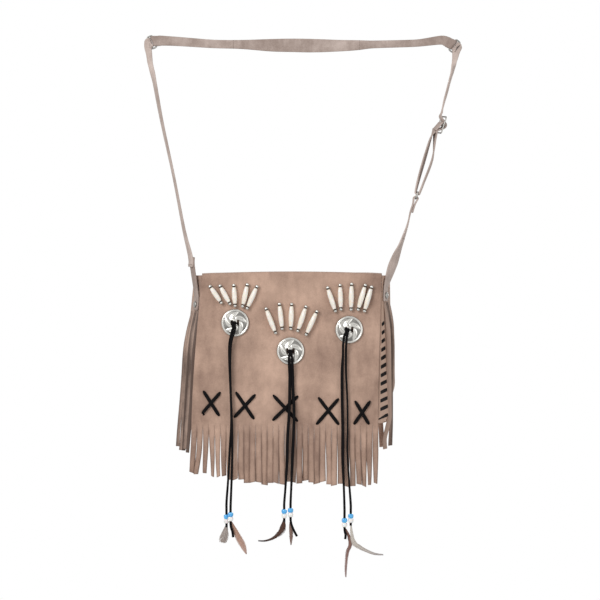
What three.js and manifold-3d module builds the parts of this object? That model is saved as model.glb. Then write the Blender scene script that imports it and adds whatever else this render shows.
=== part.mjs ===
// Fringed suede shoulder bag, hung by its strap. Millimetres, +Z up, the front looks along -Y.
// The origin is under the middle of the shoulder strap, where a shoulder or a peg carries the bag.
import * as THREE from "three";
import { mergeVertices } from "three/addons/utils/BufferGeometryUtils.js";
import Module from "manifold-3d";

// Driving dimensions
const GAP = 0.3; // clearance between pieces that touch
const SUEDE = 1.6; // thickness of the bag's suede
const POUCH_TOP = -314; // height of the pouch mouth
const POUCH_BOTTOM = -522; // height of the pouch's underside
const POUCH_FRONT = -12; // front edge of the gusset
const MOUTH_DEPTH = 24; // gusset width at the mouth
const BASE_DEPTH = 42; // gusset width at the bottom
const FRONT_WIDTH = 250; // pouch width at the front seam
const FLARE = 0.5; // how far a side leans out over its depth
const CORNER = 14; // radius of the gusset's lower corners
const POUCH_LEAN = 9; // sideways lean of the hanging pouch, from mouth to bottom
const POUCH_SPREAD = 4; // how much wider each side of the front is at the bottom
const FLAP_LEAN = 10;
const FLAP_TOP_WIDTH = FRONT_WIDTH + 2;
const FLAP_HEM_WIDTH = FRONT_WIDTH + 12;
const FLAP_STAND = 2.4; // room behind the flap for the back runs of its lacing
const FLAP_CROWN = 3; // rise of the fold in the middle
const FLAP_FOLD = 4; // radius of the front fold
const SLIT_TOP = -526; // where the fringe slits begin
const FRINGE_LENGTH = 61.5; // at the left edge
const FRINGE_GROWTH = 16; // how much longer the fringe is past its left corner
const FRINGE_SLOPE = 4; // and how much longer again at the right side
const STRANDS = 32;
const SLIT = 1.1; // width of a slit between strands
const SIDE_FRINGE_HEADER = 22;
const SIDE_FRINGE_LENGTH = 216;
const SIDE_FRINGE_TURN = 0.85; // radians that a hanging strand turns to the front
const SIDE_STITCH_WIDTH = 5.4; // broad lace of the sides
const STITCH_WIDTH = 3.8; // flat lace of the stitching
const LACE_THICK = 1.2;
const STITCH_TOP = -384;
const STITCH_PITCH = 12.2;
const STITCHES = 11;
const CONCHO_RADIUS = 18.8;
const CONCHO_HEIGHT = 4.6;
const CONCHO_SLOT = [3.2, 7.5]; // width and height of each slot
const CONCHO_SLOT_X = 4.2; // distance of a slot from the middle
const BALL_RADIUS = 2.8;
const BONE_RADIUS = 3.3;
const BONE_END_RADIUS = 2.1;
const THREAD_RADIUS = 0.8;
const CORD_WIDTH = 3.4; // hanging lace
const CORD_THICK = 2;
const BEAD_RADIUS = 4;
const BEAD_HEIGHT = 6.2;
const FEATHER_THICK = 0.8;
const STRAP_WIDTH = 14;
const STRAP_THICK = 2.2;
const PAD_WIDTH = 20.5; // shoulder strap at its middle
const RING_WIRE = 2.2;
const RING_INSIDE = [12, 7]; // opening of a corner ring
const LOWER_RING_INSIDE = [15, 7.4]; // opening of the ring at the right tab
const GATHERED = 6.2; // a strap's width where it hangs in a corner ring
const FOLDED = 8.2; // the shoulder strap's width in a corner ring
const FOLD_STUB = 20; // length of a strap end that is folded back and sewn
const RIVET_RADIUS = 4.5;
const RIVET_HEIGHT = 2;
const SLIDE_HEIGHT = 26;
const SLIDE_BAR = 2.2;
const SLIDE_THICK = 1.8;

const V = (x, y, z) => new THREE.Vector3(x, y, z);
const lerp = THREE.MathUtils.lerp;
const wasm = await Module();
wasm.setup();

// Materials
const finish = (color, roughness, metalness = 0) => () =>
  new THREE.MeshStandardMaterial({ color, roughness, metalness });
const suede = finish("#b99a85", 0.95);
const strapSuede = finish("#b2a094", 0.95);
const blackLace = finish("#1d1a1c", 0.8);
const silver = finish("#b9b8b4", 0.28, 1);
const bone = finish("#e6d6bd", 0.45);
const bead = finish("#3ba5e6", 0.2);
const plume = finish("#8b7568", 0.9);

const bag = new THREE.Group();
function place(name, geometry, material, parent = bag) {
  const mesh = new THREE.Mesh(geometry, material());
  mesh.name = name;
  parent.add(mesh);
  return mesh;
}

// A closed solid as a manifold, and back
function solid(geometry) {
  const bare = geometry.clone();
  bare.deleteAttribute("normal");
  bare.deleteAttribute("uv");
  const merged = mergeVertices(bare, 1e-4);
  const vertProperties = new Float32Array(merged.attributes.position.array);
  const triVerts = new Uint32Array(merged.index.array);
  return new wasm.Manifold(new wasm.Mesh({ numProp: 3, vertProperties, triVerts }));
}
function geometryOf(manifold) {
  const mesh = manifold.getMesh();
  const geometry = new THREE.BufferGeometry();
  geometry.setAttribute("position", new THREE.BufferAttribute(mesh.vertProperties, 3));
  geometry.setIndex(new THREE.BufferAttribute(mesh.triVerts, 1));
  return geometry;
}
const joined = (list) => list.map(solid).reduce((a, b) => a.add(b));

function indexed(points, triangles) {
  const geometry = new THREE.BufferGeometry();
  geometry.setFromPoints(points);
  geometry.setIndex(triangles);
  return geometry;
}

// A bar of rectangular section from a to b, its width across the given direction
function bar(a, b, across, width, thick) {
  const along = b.clone().sub(a);
  const box = new THREE.BoxGeometry(along.length(), width, thick);
  const x = along.clone().normalize();
  const z = x.clone().cross(across).normalize();
  const y = z.clone().cross(x);
  const frame = new THREE.Matrix4().makeBasis(x, y, z);
  frame.setPosition(a.clone().add(b).multiplyScalar(0.5));
  return box.applyMatrix4(frame);
}

// A strip of leather through pairs of edge points, with its thickness to both sides
function strip(pairs, thick) {
  const points = [];
  const triangles = [];
  const mid = pairs.map(([a, b]) => a.clone().add(b).multiplyScalar(0.5));
  const last = pairs.length - 1;
  const step = (i, j) => mid[j].clone().sub(mid[i]).normalize();
  pairs.forEach(([a, b], i) => {
    const before = step(Math.max(i - 1, 0), Math.max(i, 1));
    const after = step(Math.min(i, last - 1), Math.min(i + 1, last));
    const normal = before.clone().add(after).cross(b.clone().sub(a)).normalize();
    const mitre = Math.sqrt((1 + before.dot(after)) / 2);
    normal.multiplyScalar(thick / 2 / Math.max(mitre, 0.5));
    points.push(a.clone().sub(normal), b.clone().sub(normal));
    points.push(b.clone().add(normal), a.clone().add(normal));
  });
  const quad = (a, b, c, d) => triangles.push(a, b, c, a, c, d);
  for (let i = 0; i < last; i++) {
    for (let k = 0; k < 4; k++) {
      const next = (k + 1) % 4;
      quad(4 * i + k, 4 * i + next, 4 * i + 4 + next, 4 * i + 4 + k);
    }
  }
  quad(3, 2, 1, 0);
  quad(4 * last, 4 * last + 1, 4 * last + 2, 4 * last + 3);
  return indexed(points, triangles);
}

// Edge pairs of a strip from its middle line, the direction of its width and the width itself
const across = (middle, direction, width) => {
  const half = direction.clone().setLength(width / 2);
  return [middle.clone().sub(half), middle.clone().add(half)];
};

// A sheet over columns and rows of cells, where only the filled cells are cloth
function cutSheet(columns, rows, filled, front, back) {
  const points = [];
  const triangles = [];
  const number = new Map();
  const at = (i, j, side) => {
    const key = `${i},${j},${side}`;
    if (!number.has(key)) {
      number.set(key, points.length);
      points.push(side === 0 ? front(i, j) : back(i, j));
    }
    return number.get(key);
  };
  const quad = (a, b, c, d) => triangles.push(a, b, c, a, c, d);
  const cloth = (i, j) => i >= 0 && j >= 0 && i < columns && j < rows && filled(i, j);
  for (let i = 0; i < columns; i++) {
    for (let j = 0; j < rows; j++) {
      if (!cloth(i, j)) continue;
      quad(at(i, j, 0), at(i, j + 1, 0), at(i + 1, j + 1, 0), at(i + 1, j, 0));
      quad(at(i, j, 1), at(i + 1, j, 1), at(i + 1, j + 1, 1), at(i, j + 1, 1));
      if (!cloth(i - 1, j)) quad(at(i, j, 0), at(i, j, 1), at(i, j + 1, 1), at(i, j + 1, 0));
      if (!cloth(i + 1, j)) {
        quad(at(i + 1, j + 1, 0), at(i + 1, j + 1, 1), at(i + 1, j, 1), at(i + 1, j, 0));
      }
      if (!cloth(i, j - 1)) quad(at(i + 1, j, 0), at(i + 1, j, 1), at(i, j, 1), at(i, j, 0));
      if (!cloth(i, j + 1)) {
        quad(at(i, j + 1, 0), at(i, j + 1, 1), at(i + 1, j + 1, 1), at(i + 1, j + 1, 0));
      }
    }
  }
  return indexed(points, triangles);
}

// Pouch: the gusset is one strip down the left side, along the bottom and up the right side
const POUCH_HEIGHT = POUCH_TOP - POUCH_BOTTOM;
const shift = (z) => (-POUCH_LEAN * (POUCH_TOP - z)) / POUCH_HEIGHT;
const halfAt = (z) => FRONT_WIDTH / 2 + (POUCH_SPREAD * (POUCH_TOP - z)) / POUCH_HEIGHT;
const depthAt = (z) => lerp(MOUTH_DEPTH, BASE_DEPTH, (POUCH_TOP - z) / POUCH_HEIGHT);
function seams(side, z, inset = 0) {
  const front = V(shift(z) + side * (halfAt(z) - inset), POUCH_FRONT, z);
  const depth = depthAt(z);
  const back = V(shift(z) + side * (halfAt(z) + FLARE * depth - inset), POUCH_FRONT + depth, z);
  return [front, back];
}
const half = SUEDE / 2;
const gussetPairs = [];
for (const side of [-1, 1]) {
  const run = [POUCH_TOP, POUCH_BOTTOM + CORNER].map((z) => seams(side, z, half));
  for (const turn of [0.25, 0.5, 0.75, 1]) {
    const angle = (turn * Math.PI) / 2;
    const z = POUCH_BOTTOM + half + (CORNER - half) * (1 - Math.sin(angle));
    run.push(seams(side, z, half + (CORNER - half) * (1 - Math.cos(angle))));
  }
  gussetPairs.push(...(side < 0 ? run : run.reverse()));
}
// the slanted edges are cut back so that they stay clear of the panels
const EDGE_TRIM = SUEDE / 3;
const trimmed = gussetPairs.map(([a, b]) => {
  const trim = b.clone().sub(a).setLength(EDGE_TRIM);
  return [a.clone().add(trim), b.clone().sub(trim)];
});
const gussetBlank = solid(strip(trimmed, SUEDE));

// Whip lacing: slanted stitches on the outer face of a gusset side, joined by runs inside it
function sideFrame(side, z) {
  const [front, back] = seams(side, z);
  const inward = back.clone().sub(front).normalize();
  const down = seams(side, z - 1)[0].sub(front).normalize();
  const out = inward.clone().cross(down).normalize().multiplyScalar(-side);
  return { front, inward, out };
}
function onSide(side, z, depth, height) {
  const { front, inward, out } = sideFrame(side, z);
  return front.addScaledVector(inward, depth).addScaledVector(out, height);
}
const STITCH_NEAR = 3; // distance of the first hole from the front seam
const STITCH_FAR = [12, 34]; // distance of the second hole at the top and at the bottom
const STITCH_RISE = 4; // how much higher the far hole is
// One stitch: its two legs go through the leather at a and b, out is the way that it stands proud
function stitch(a, b, out, leather, width) {
  const wide = b.clone().sub(a).cross(out);
  const high = GAP + LACE_THICK / 2;
  const deep = -leather - GAP - LACE_THICK / 2;
  const at = (end, height) => end.clone().addScaledVector(out, height);
  const path = [at(a, deep), at(a, high), at(b, high), at(b, deep)];
  const lace = strip(path.map((p) => across(p, wide, width)), LACE_THICK);
  const holes = [a, b].map((end) => {
    const reach = [at(end, GAP), at(end, -leather - GAP)];
    return bar(...reach, wide, width + 2 * GAP, LACE_THICK + 2 * GAP);
  });
  return { lace, holes, low: at(a, deep) };
}
function whipLacing(side) {
  const stitches = [];
  for (let i = 0; i < STITCHES; i++) {
    const z = STITCH_TOP - i * STITCH_PITCH;
    const near = onSide(side, z, STITCH_NEAR, 0);
    const depth = lerp(...STITCH_FAR, i / (STITCHES - 1));
    const far = onSide(side, z + STITCH_RISE, depth, 0);
    stitches.push(stitch(near, far, sideFrame(side, z).out, SUEDE, SIDE_STITCH_WIDTH));
  }
  const ends = [stitches[0].low, stitches[STITCHES - 1].low];
  const run = bar(...ends, sideFrame(side, STITCH_TOP).inward, STITCH_WIDTH, LACE_THICK);
  return {
    lace: joined([run, ...stitches.map((one) => one.lace)]),
    holes: joined(stitches.flatMap((one) => one.holes)),
  };
}
const leftLacing = whipLacing(-1);
const rightLacing = whipLacing(1);
const gusset = gussetBlank.subtract(leftLacing.holes).subtract(rightLacing.holes);
place("gusset", geometryOf(gusset), suede);
place("left_side_lacing", geometryOf(leftLacing.lace), blackLace);
place("right_side_lacing", geometryOf(rightLacing.lace), blackLace);

// Front and back panels lie on the gusset's two edges
function panel(flare) {
  const outline = new THREE.Shape();
  const edge = (side, drop) => {
    const wide = halfAt(POUCH_TOP - drop) + flare * depthAt(POUCH_TOP - drop);
    return side * wide + shift(POUCH_TOP - drop);
  };
  const drop = flare ? POUCH_HEIGHT / Math.cos(backTilt) : POUCH_HEIGHT;
  const low = drop - CORNER;
  outline.moveTo(edge(-1, 0), 0);
  outline.lineTo(edge(-1, low), -low);
  outline.quadraticCurveTo(edge(-1, drop), -drop, edge(-1, drop) + CORNER, -drop);
  outline.lineTo(edge(1, drop) - CORNER, -drop);
  outline.quadraticCurveTo(edge(1, drop), -drop, edge(1, low), -low);
  outline.lineTo(edge(1, 0), 0);
  outline.closePath();
  const settings = { depth: SUEDE, bevelEnabled: false, curveSegments: 4 };
  return new THREE.ExtrudeGeometry(outline, settings);
}
const backTilt = Math.atan2(BASE_DEPTH - MOUTH_DEPTH, POUCH_HEIGHT);
const PANEL_FACE = POUCH_FRONT - GAP - SUEDE;
const frontPanel = place("front_panel", panel(0), suede);
frontPanel.rotation.x = Math.PI / 2;
frontPanel.position.set(0, POUCH_FRONT - GAP, POUCH_TOP);
const backPanel = place("back_panel", panel(FLARE), suede);
const BACK_EDGE = POUCH_FRONT + MOUTH_DEPTH + GAP; // inner face of the back panel at the mouth
const BACK_OUTER = BACK_EDGE + SUEDE / Math.cos(backTilt); // its outer face at the mouth
backPanel.rotation.x = Math.PI / 2 + backTilt;
backPanel.position.set(0, BACK_OUTER, POUCH_TOP);

// Flap: from the top of the back panel over the mouth, down the front, then cut into strands
const FLAP_INNER = PANEL_FACE - FLAP_STAND;
const FLAP_FACE = FLAP_INNER - SUEDE;
const FLAP_LOW = POUCH_TOP + 3 * GAP; // underside of the flap over the mouth, clear at its fold
const strandPitch = 1 / STRANDS;
const slitShare = SLIT / FLAP_HEM_WIDTH;
// small repeatable unevenness between strands
const uneven = (k, seed) =>
  (Math.sin(k * 12.9898 + seed * 78.233) + Math.sin(k * 4.1 + seed * 2.7)) / 2;
const foldSteps = [0, 0.35, 0.7, 1];
const panelRows = 1 + foldSteps.length;
const strandRows = 3;
const shareOf = (i) => {
  const k = Math.floor(i / 2);
  if (i === 0) return 0;
  if (i === 2 * STRANDS - 1) return 1;
  return i % 2 ? (k + 1) * strandPitch - slitShare / 2 : k * strandPitch + slitShare / 2;
};
function flapPoint(i, j, outer) {
  const share = shareOf(i);
  const depth = outer ? SUEDE : 0;
  const bow = FLAP_CROWN * (1 - (2 * share - 1) ** 2);
  const top = FLAP_LOW + bow;
  if (j === 0) return V(lerp(-0.5, 0.5, share) * FLAP_TOP_WIDTH, BACK_OUTER, FLAP_LOW + depth);
  if (j <= foldSteps.length) {
    const angle = (foldSteps[j - 1] * Math.PI) / 2;
    const radius = FLAP_FOLD + depth;
    const y = FLAP_INNER + FLAP_FOLD - radius * Math.sin(angle);
    const z = top - FLAP_FOLD + radius * Math.cos(angle);
    return V(lerp(-0.5, 0.5, share) * FLAP_TOP_WIDTH, y, z);
  }
  const k = Math.floor(i / 2);
  const down = (j - panelRows) / strandRows;
  const corner = 1 - Math.exp(-share / 0.15);
  const length = FRINGE_LENGTH + FRINGE_GROWTH * corner + FRINGE_SLOPE * share + 4 * uneven(k, 1);
  const x = lerp(-0.5, 0.5, share) * FLAP_HEM_WIDTH + -FLAP_LEAN;
  const curl = 4 * Math.abs(uneven(k, 2)) * down * down;
  const sway = Math.sin(down * 3) * 1.5 * uneven(k, 3);
  const middle = ((k + 0.5) * strandPitch - 0.5) * FLAP_HEM_WIDTH + -FLAP_LEAN;
  const narrow = 1 - 0.22 * down;
  const y = (outer ? FLAP_FACE : FLAP_INNER) - Math.abs(sway);
  const bend = 0.55 * SLIT * (uneven(k, 4) - 0.1) * down + 0.1 * curl;
  return V(middle + (x - middle) * narrow + bend, y + curl, SLIT_TOP - length * down);
}
const flapBlank = solid(
  cutSheet(
    2 * STRANDS - 1,
    panelRows + strandRows,
    (i, j) => j < panelRows || i % 2 === 0,
    (i, j) => flapPoint(i, j, true),
    (i, j) => flapPoint(i, j, false),
  ),
);

// Cross lacing: five crosses on the front, joined behind the flap by one lace
const CROSS_Z = -493; // middle height of the first cross
// place along the row and width of each cross
const CROSSES = [[-113, 25.5], [-65.5, 27.5], [-10, 34], [52.5, 29.5], [98.5, 21.5]];
const CROSS_HIGH = 32;
const CROSS_DROP = 13.6; // the row sinks towards its right end
const crosses = CROSSES.flatMap(([x, wide], i) => {
  const z = CROSS_Z - (CROSS_DROP * i) / (CROSSES.length - 1);
  const corner = (sx, sz) => V(x + (sx * wide) / 2, FLAP_FACE, z + (sz * CROSS_HIGH) / 2);
  return [-1, 1].map((slant) => {
    const ends = [corner(-1, -slant), corner(1, slant)];
    return stitch(...ends, V(0, -1, 0), SUEDE, STITCH_WIDTH);
  });
});
const rowEnds = [crosses[1].low, crosses.at(-1).low.clone()];
rowEnds[1].x += CROSSES.at(-1)[1];
const backRun = bar(...rowEnds, V(0, 0, 1), STITCH_WIDTH, LACE_THICK);
const crossLace = [backRun, ...crosses.map((one) => one.lace)];
const crossHoles = crosses.flatMap((one) => one.holes);
place("flap", geometryOf(flapBlank.subtract(joined(crossHoles))), suede);
place("cross_lacing", geometryOf(joined(crossLace)), blackLace);

// Side fringe: a header on the gusset under the strap tab, cut into hanging strands
function sideFringe(side, { top, nearest, strands, strandWidth, spread, gather, drift }) {
  const rows = 7;
  const pitch = strandWidth + SLIT;
  const low = top - SIDE_FRINGE_HEADER;
  const point = (i, j, layer) => {
    const k = Math.floor(i / 2);
    const middle = nearest + k * pitch + strandWidth / 2;
    const along = (i % 2 ? 0.5 : -0.5) * strandWidth;
    const rise = (layer - 0.5) * SUEDE;
    if (j === 0) return onSide(side, top, middle + along, GAP + SUEDE / 2 + rise);
    const down = (j - 1) / rows;
    const length = SIDE_FRINGE_LENGTH - SIDE_FRINGE_HEADER + 5 * uneven(k, 5);
    const ease = Math.min(1, down * 3);
    const turn = SIDE_FRINGE_TURN * ease * ease;
    const away = (4.2 + spread * k) * ease * (2 - ease) + uneven(k, 6) * down;
    const deeper = gather * k * ease + drift * down;
    const depth = middle + deeper + along * Math.cos(turn) - rise * Math.sin(turn);
    const height = GAP + SUEDE / 2 + away + along * Math.sin(turn) + rise * Math.cos(turn);
    return onSide(side, low - length * down, depth, height);
  };
  const turned = side > 0;
  return cutSheet(
    2 * strands - 1,
    rows + 1,
    (i, j) => j === 0 || i % 2 === 0,
    (i, j) => point(i, j, turned ? 1 : 0),
    (i, j) => point(i, j, turned ? 0 : 1),
  );
}
const LEFT_FRINGE = {
  top: -344, nearest: 1, strands: 5, strandWidth: 4.6, spread: 0.9, gather: 0.4, drift: 0,
};
const RIGHT_FRINGE = {
  top: -331, nearest: 8, strands: 3, strandWidth: 5.2, spread: 0.6, gather: -1.4, drift: 14,
};
place("left_side_fringe", sideFringe(-1, LEFT_FRINGE), suede);
place("right_side_fringe", sideFringe(1, RIGHT_FRINGE), suede);

// Conchos: domed discs with a raised rim and two slots
const CONCHO_RIM = 1.6; // width of the raised rim
const CONCHO_EDGE = 1.9; // height of the rim
const CONCHO_AT = { left: [-79.7, -380.5], middle: [-2.1, -420], right: [79.9, -390] };
function concho() {
  const r = CONCHO_RADIUS;
  const profile = [
    [0, 0],
    [r - 0.5, 0],
    [r, CONCHO_EDGE / 2],
    [r - CONCHO_RIM / 2, CONCHO_EDGE],
    [r - CONCHO_RIM, CONCHO_EDGE * 0.8],
    [r * 0.66, CONCHO_HEIGHT * 0.78],
    [r * 0.34, CONCHO_HEIGHT * 0.95],
    [0, CONCHO_HEIGHT],
  ].map(([x, y]) => new THREE.Vector2(x, y));
  const disc = solid(new THREE.LatheGeometry(profile, 18));
  const slots = [-1, 1].map((sx) => {
    const slot = new THREE.BoxGeometry(CONCHO_SLOT[0], 4 * CONCHO_HEIGHT, CONCHO_SLOT[1]);
    return slot.translate(sx * CONCHO_SLOT_X, 0, 0);
  });
  return geometryOf(disc.subtract(joined(slots)));
}
const TRIM_BACK = FLAP_FACE - GAP; // back of what lies on the flap
const CONCHO_FRONT = TRIM_BACK - CONCHO_HEIGHT;

// Lace knots: a lace through both slots of a concho, tied below into a lump
const KNOT_RADIUS = 3.6;
const KNOT_DROP = 5; // the lump's place under the concho's middle
const KNOT_Y = CONCHO_FRONT - GAP - KNOT_RADIUS;
function knot() {
  const leg = CONCHO_SLOT[0] - 2 * GAP - 0.4;
  const high = CONCHO_SLOT[1] - 2 * GAP - 3;
  const y = CONCHO_FRONT - GAP - LACE_THICK / 2;
  const pieces = [-1, 1].map((sx) => {
    const x = sx * CONCHO_SLOT_X;
    return bar(V(x, y, 0), V(x, TRIM_BACK - GAP, 0), V(0, 0, 1), high, leg);
  });
  const reach = CONCHO_SLOT_X + leg / 2;
  pieces.push(bar(V(-reach, y, 0), V(reach, y, 0), V(0, 0, 1), high, LACE_THICK));
  pieces.push(bar(V(0, y, 0), V(0, KNOT_Y, -KNOT_DROP), V(1, 0, 0), 2 * CONCHO_SLOT_X, LACE_THICK));
  const lump = new THREE.SphereGeometry(KNOT_RADIUS, 8, 5);
  pieces.push(lump.scale(1.35, 1, 1.1).translate(0, KNOT_Y, -KNOT_DROP));
  return geometryOf(joined(pieces));
}
for (const [where, [x, z]] of Object.entries(CONCHO_AT)) {
  const disc = place(`${where}_concho`, concho(), silver);
  disc.rotation.x = Math.PI;
  disc.position.set(x, TRIM_BACK, z);
  place(`${where}_lace_knot`, knot(), blackLace).position.set(x, 0, z);
}

// Bone hairpipes, each strung between two silver balls, in a fan over each concho
// ends of each hairpipe's string: upper x and z, lower x and z
const FANS = {
  left: [
    [-114.2, -329.9, -99.4, -352.0], [-100.5, -329.3, -87.1, -353.4], [-81.4, -328.4, -79.6, -356.1],
    [-62.6, -327.5, -68.9, -356.8], [-49.2, -330.2, -62.4, -359.7],
  ],
  middle: [
    [-36.2, -361.1, -23.2, -394.1], [-17.6, -354.7, -13.9, -388.3], [-0.5, -354.9, -1.7, -388.4],
    [19.3, -358.3, 8.3, -391.3], [34.5, -365.0, 20.1, -396.5],
  ],
  right: [
    [49.9, -331.8, 60.4, -363.6], [67.2, -328.3, 68.4, -361.1], [83.3, -326.8, 82.6, -361.3],
    [102.2, -328.4, 92.6, -361.5], [111.1, -330.8, 101.5, -363.6],
  ],
};
function hairpipe(length) {
  const reach = length / 2;
  const boneEnd = reach - BALL_RADIUS - GAP;
  const upper = [
    [BONE_RADIUS, boneEnd * 0.45],
    [BONE_END_RADIUS, boneEnd],
    [THREAD_RADIUS, boneEnd],
    [THREAD_RADIUS, boneEnd + GAP],
  ];
  for (const turn of [-45, 0, 45]) {
    const angle = THREE.MathUtils.degToRad(turn);
    upper.push([BALL_RADIUS * Math.cos(angle), reach + BALL_RADIUS * Math.sin(angle)]);
  }
  upper.push([0, reach + BALL_RADIUS]);
  const lower = upper.map(([x, y]) => [x, -y]).reverse();
  const profile = [...lower, ...upper].map(([x, y]) => new THREE.Vector2(x, y));
  return new THREE.LatheGeometry(profile, 6);
}
for (const [where, fan] of Object.entries(FANS)) {
  fan.forEach(([topX, topZ, lowX, lowZ], i) => {
    const top = V(topX, 0, topZ);
    const low = V(lowX, 0, lowZ);
    const along = top.clone().sub(low);
    const pipe = place(`${where}_hairpipe_${i + 1}`, hairpipe(along.length()), bone);
    pipe.quaternion.setFromUnitVectors(V(0, 1, 0), along.clone().normalize());
    pipe.position.copy(top.add(low).multiplyScalar(0.5)).setY(TRIM_BACK - BONE_RADIUS);
  });
}

// Hanging laces: two strands from each knot, down over the flap, through a blue and a white bead
const STRANDS_AT = {
  left_lace_a: [
    [-81.7, -26.6, -389.6], [-85, -25.4, -402], [-87.6, -22, -415], [-87.2, -21.6, -440],
    [-86.2, -21.6, -480],
    [-86.4, -21.6, -520], [-88.2, -21.6, -560], [-90, -21.2, -600], [-91.6, -17.2, -630],
    [-91.8, -15.6, -642],
    [-91.8, -15.6, -652], [-91.8, -15.6, -660], [-91.6, -15.6, -667],
  ],
  left_lace_b: [
    [-77.6, -26.6, -389.8], [-80.4, -25.4, -402], [-82.9, -22, -415], [-82.4, -21.6, -440],
    [-81.6, -21.6, -480],
    [-81.8, -21.6, -520], [-83.6, -22.4, -560], [-84.8, -23.6, -600], [-85.6, -24.6, -632],
    [-85.8, -24.8, -642],
    [-85.8, -24.8, -650], [-85.8, -24.8, -658], [-85.4, -25, -665], [-83.2, -25.2, -672], [-82.2, -25, -680],
  ],
  middle_lace_a: [
    [-4.3, -26.6, -429.5], [-3.4, -25.4, -442], [-2.2, -22, -455], [-2.6, -21.6, -475], [-3.6, -21.6, -505],
    [-5.4, -21.6, -540], [-7.6, -21.6, -575], [-9.6, -21.6, -610], [-10.8, -21.6, -632], [-10.9, -21.6, -640],
    [-10.9, -21.6, -648], [-10.9, -21.6, -654], [-10.7, -21.6, -659],
  ],
  middle_lace_b: [
    [0.1, -26.6, -429.5], [1.2, -25.4, -442], [2.6, -22, -455], [3, -21.6, -475], [3, -21.6, -505],
    [2, -21.6, -540], [0.4, -21.6, -575], [-1, -21.6, -610], [-1.9, -21.6, -630], [-2, -21.6, -638],
    [-2, -21.6, -646], [-2, -21.6, -653], [-1.2, -21.8, -661], [2.2, -22, -670], [7, -22, -679],
  ],
  right_lace_a: [
    [77.7, -26.6, -399.4], [74.6, -25.4, -412], [71.6, -22, -425], [70.6, -21.6, -450], [70.2, -21.6, -490],
    [70.6, -21.6, -530], [71.6, -21.6, -570], [73, -21.6, -610], [73.4, -21.6, -640], [73.4, -21.6, -650],
    [73.4, -21.6, -658], [73.4, -21.6, -666], [73.8, -21.8, -672], [75, -22, -677], [74.4, -22, -683],
  ],
  right_lace_b: [
    [82.1, -26.6, -399.4], [79.4, -25.4, -412], [77.2, -22, -425], [77.4, -21.6, -450], [79.4, -21.6, -490],
    [78.6, -21.6, -530], [78.6, -21.6, -560], [80.6, -21.6, -600], [82, -21.6, -632], [82.2, -21.6, -642],
    [82.2, -21.6, -650], [82.2, -21.6, -658], [82.2, -21.6, -664],
  ],
};
const BEADS_AT = {
  left_lace_a: -649, left_lace_b: -645, middle_lace_a: -641,
  middle_lace_b: -639.5, right_lace_a: -653.5, right_lace_b: -647.5,
};
const CORD_STEP = 3 * CORD_WIDTH;
const HOLE_RADIUS = CORD_WIDTH / 2 + GAP;
function ropeSection() {
  const section = new THREE.Shape();
  for (let k = 0; k < 8; k++) {
    const angle = ((k + 0.5) * Math.PI) / 4;
    const corner = [(Math.cos(angle) * CORD_THICK) / 2, (Math.sin(angle) * CORD_WIDTH) / 2];
    if (k === 0) section.moveTo(...corner);
    else section.lineTo(...corner);
  }
  section.closePath();
  return section;
}
function beadPair() {
  const profile = [];
  const round = BEAD_RADIUS * 0.3;
  for (const low of [-2 * BEAD_HEIGHT, -BEAD_HEIGHT]) {
    profile.push([BEAD_RADIUS - round, low], [BEAD_RADIUS, low + round]);
    profile.push([BEAD_RADIUS, low + BEAD_HEIGHT - round], [BEAD_RADIUS - round, low + BEAD_HEIGHT]);
  }
  const foot = [HOLE_RADIUS, -2 * BEAD_HEIGHT];
  const ring = [foot, ...profile, [HOLE_RADIUS, 0], foot];
  return new THREE.LatheGeometry(ring.map(([x, y]) => new THREE.Vector2(x, y)), 8).rotateX(Math.PI / 2);
}
for (const [name, route] of Object.entries(STRANDS_AT)) {
  const curve = new THREE.CatmullRomCurve3(route.map((p) => V(...p)));
  const steps = Math.round(curve.getLength() / CORD_STEP);
  const tube = new THREE.ExtrudeGeometry(ropeSection(), { steps, extrudePath: curve });
  place(name, tube, blackLace);
  const [x, y] = route.find(([, , z]) => z < BEADS_AT[name]);
  place(`${name}_beads`, beadPair(), bead).position.set(x, y, BEADS_AT[name]);
}

// Feathers: thin blades that hang from the white beads, as middle points and widths
const FEATHERS = {
  grey_feather: ["left_lace_a", 3.4, [
    [0, 0, 1.2], [-0.4, -5, 7], [-1.4, -13, 12], [-2.6, -20, 10], [-3.4, -25, 2],
  ]],
  brown_feather: ["left_lace_b", 3.4, [[1, 0, 1.2], [4, -8, 6], [10, -21, 9.4], [17, -34, 7], [22, -46, 1]]],
  dark_feather: ["middle_lace_a", 3.4, [
    [-0.4, 0, 1.2], [-1, -8, 8], [-3, -17, 8], [-13, -26, 4], [-36, -33, 1],
  ]],
  narrow_feather: ["middle_lace_b", 3.4, [[0, 0, 1.2], [0.4, -10, 4.6], [0.8, -25, 4.4], [0.6, -39, 1]]],
  pale_feather: ["right_lace_b", 3.4, [
    [0, 0, 1.4], [3, -24, 5.6], [12, -34, 5], [31, -43, 3.4], [45, -45, 1],
  ]],
  long_quill: ["right_lace_a", 4.6, [
    [0.4, 0, 1.6], [6, -13, 4], [8, -24, 4.6], [4, -37, 3.6], [2, -57, 2.4], [2, -70, 1],
  ]],
};
for (const [name, [lace, behind, spine]] of Object.entries(FEATHERS)) {
  const curve = new THREE.CatmullRomCurve3(spine.map(([x, z]) => V(x, 0, z)));
  const widths = new THREE.CatmullRomCurve3(spine.map(([, , w]) => V(w, 0, 0)));
  const pairs = [];
  const cuts = 2 * (spine.length - 1);
  for (let i = 0; i <= cuts; i++) {
    const side = curve.getTangent(i / cuts).cross(V(0, 1, 0));
    pairs.push(across(curve.getPoint(i / cuts), side, Math.max(widths.getPoint(i / cuts).x, 0.8)));
  }
  const [x, y] = STRANDS_AT[lace].find(([, , z]) => z < BEADS_AT[lace]);
  const under = BEADS_AT[lace] - 2 * BEAD_HEIGHT - GAP;
  place(name, strip(pairs, FEATHER_THICK), plume).position.set(x, y + behind - CORD_THICK / 2, under);
}

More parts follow.
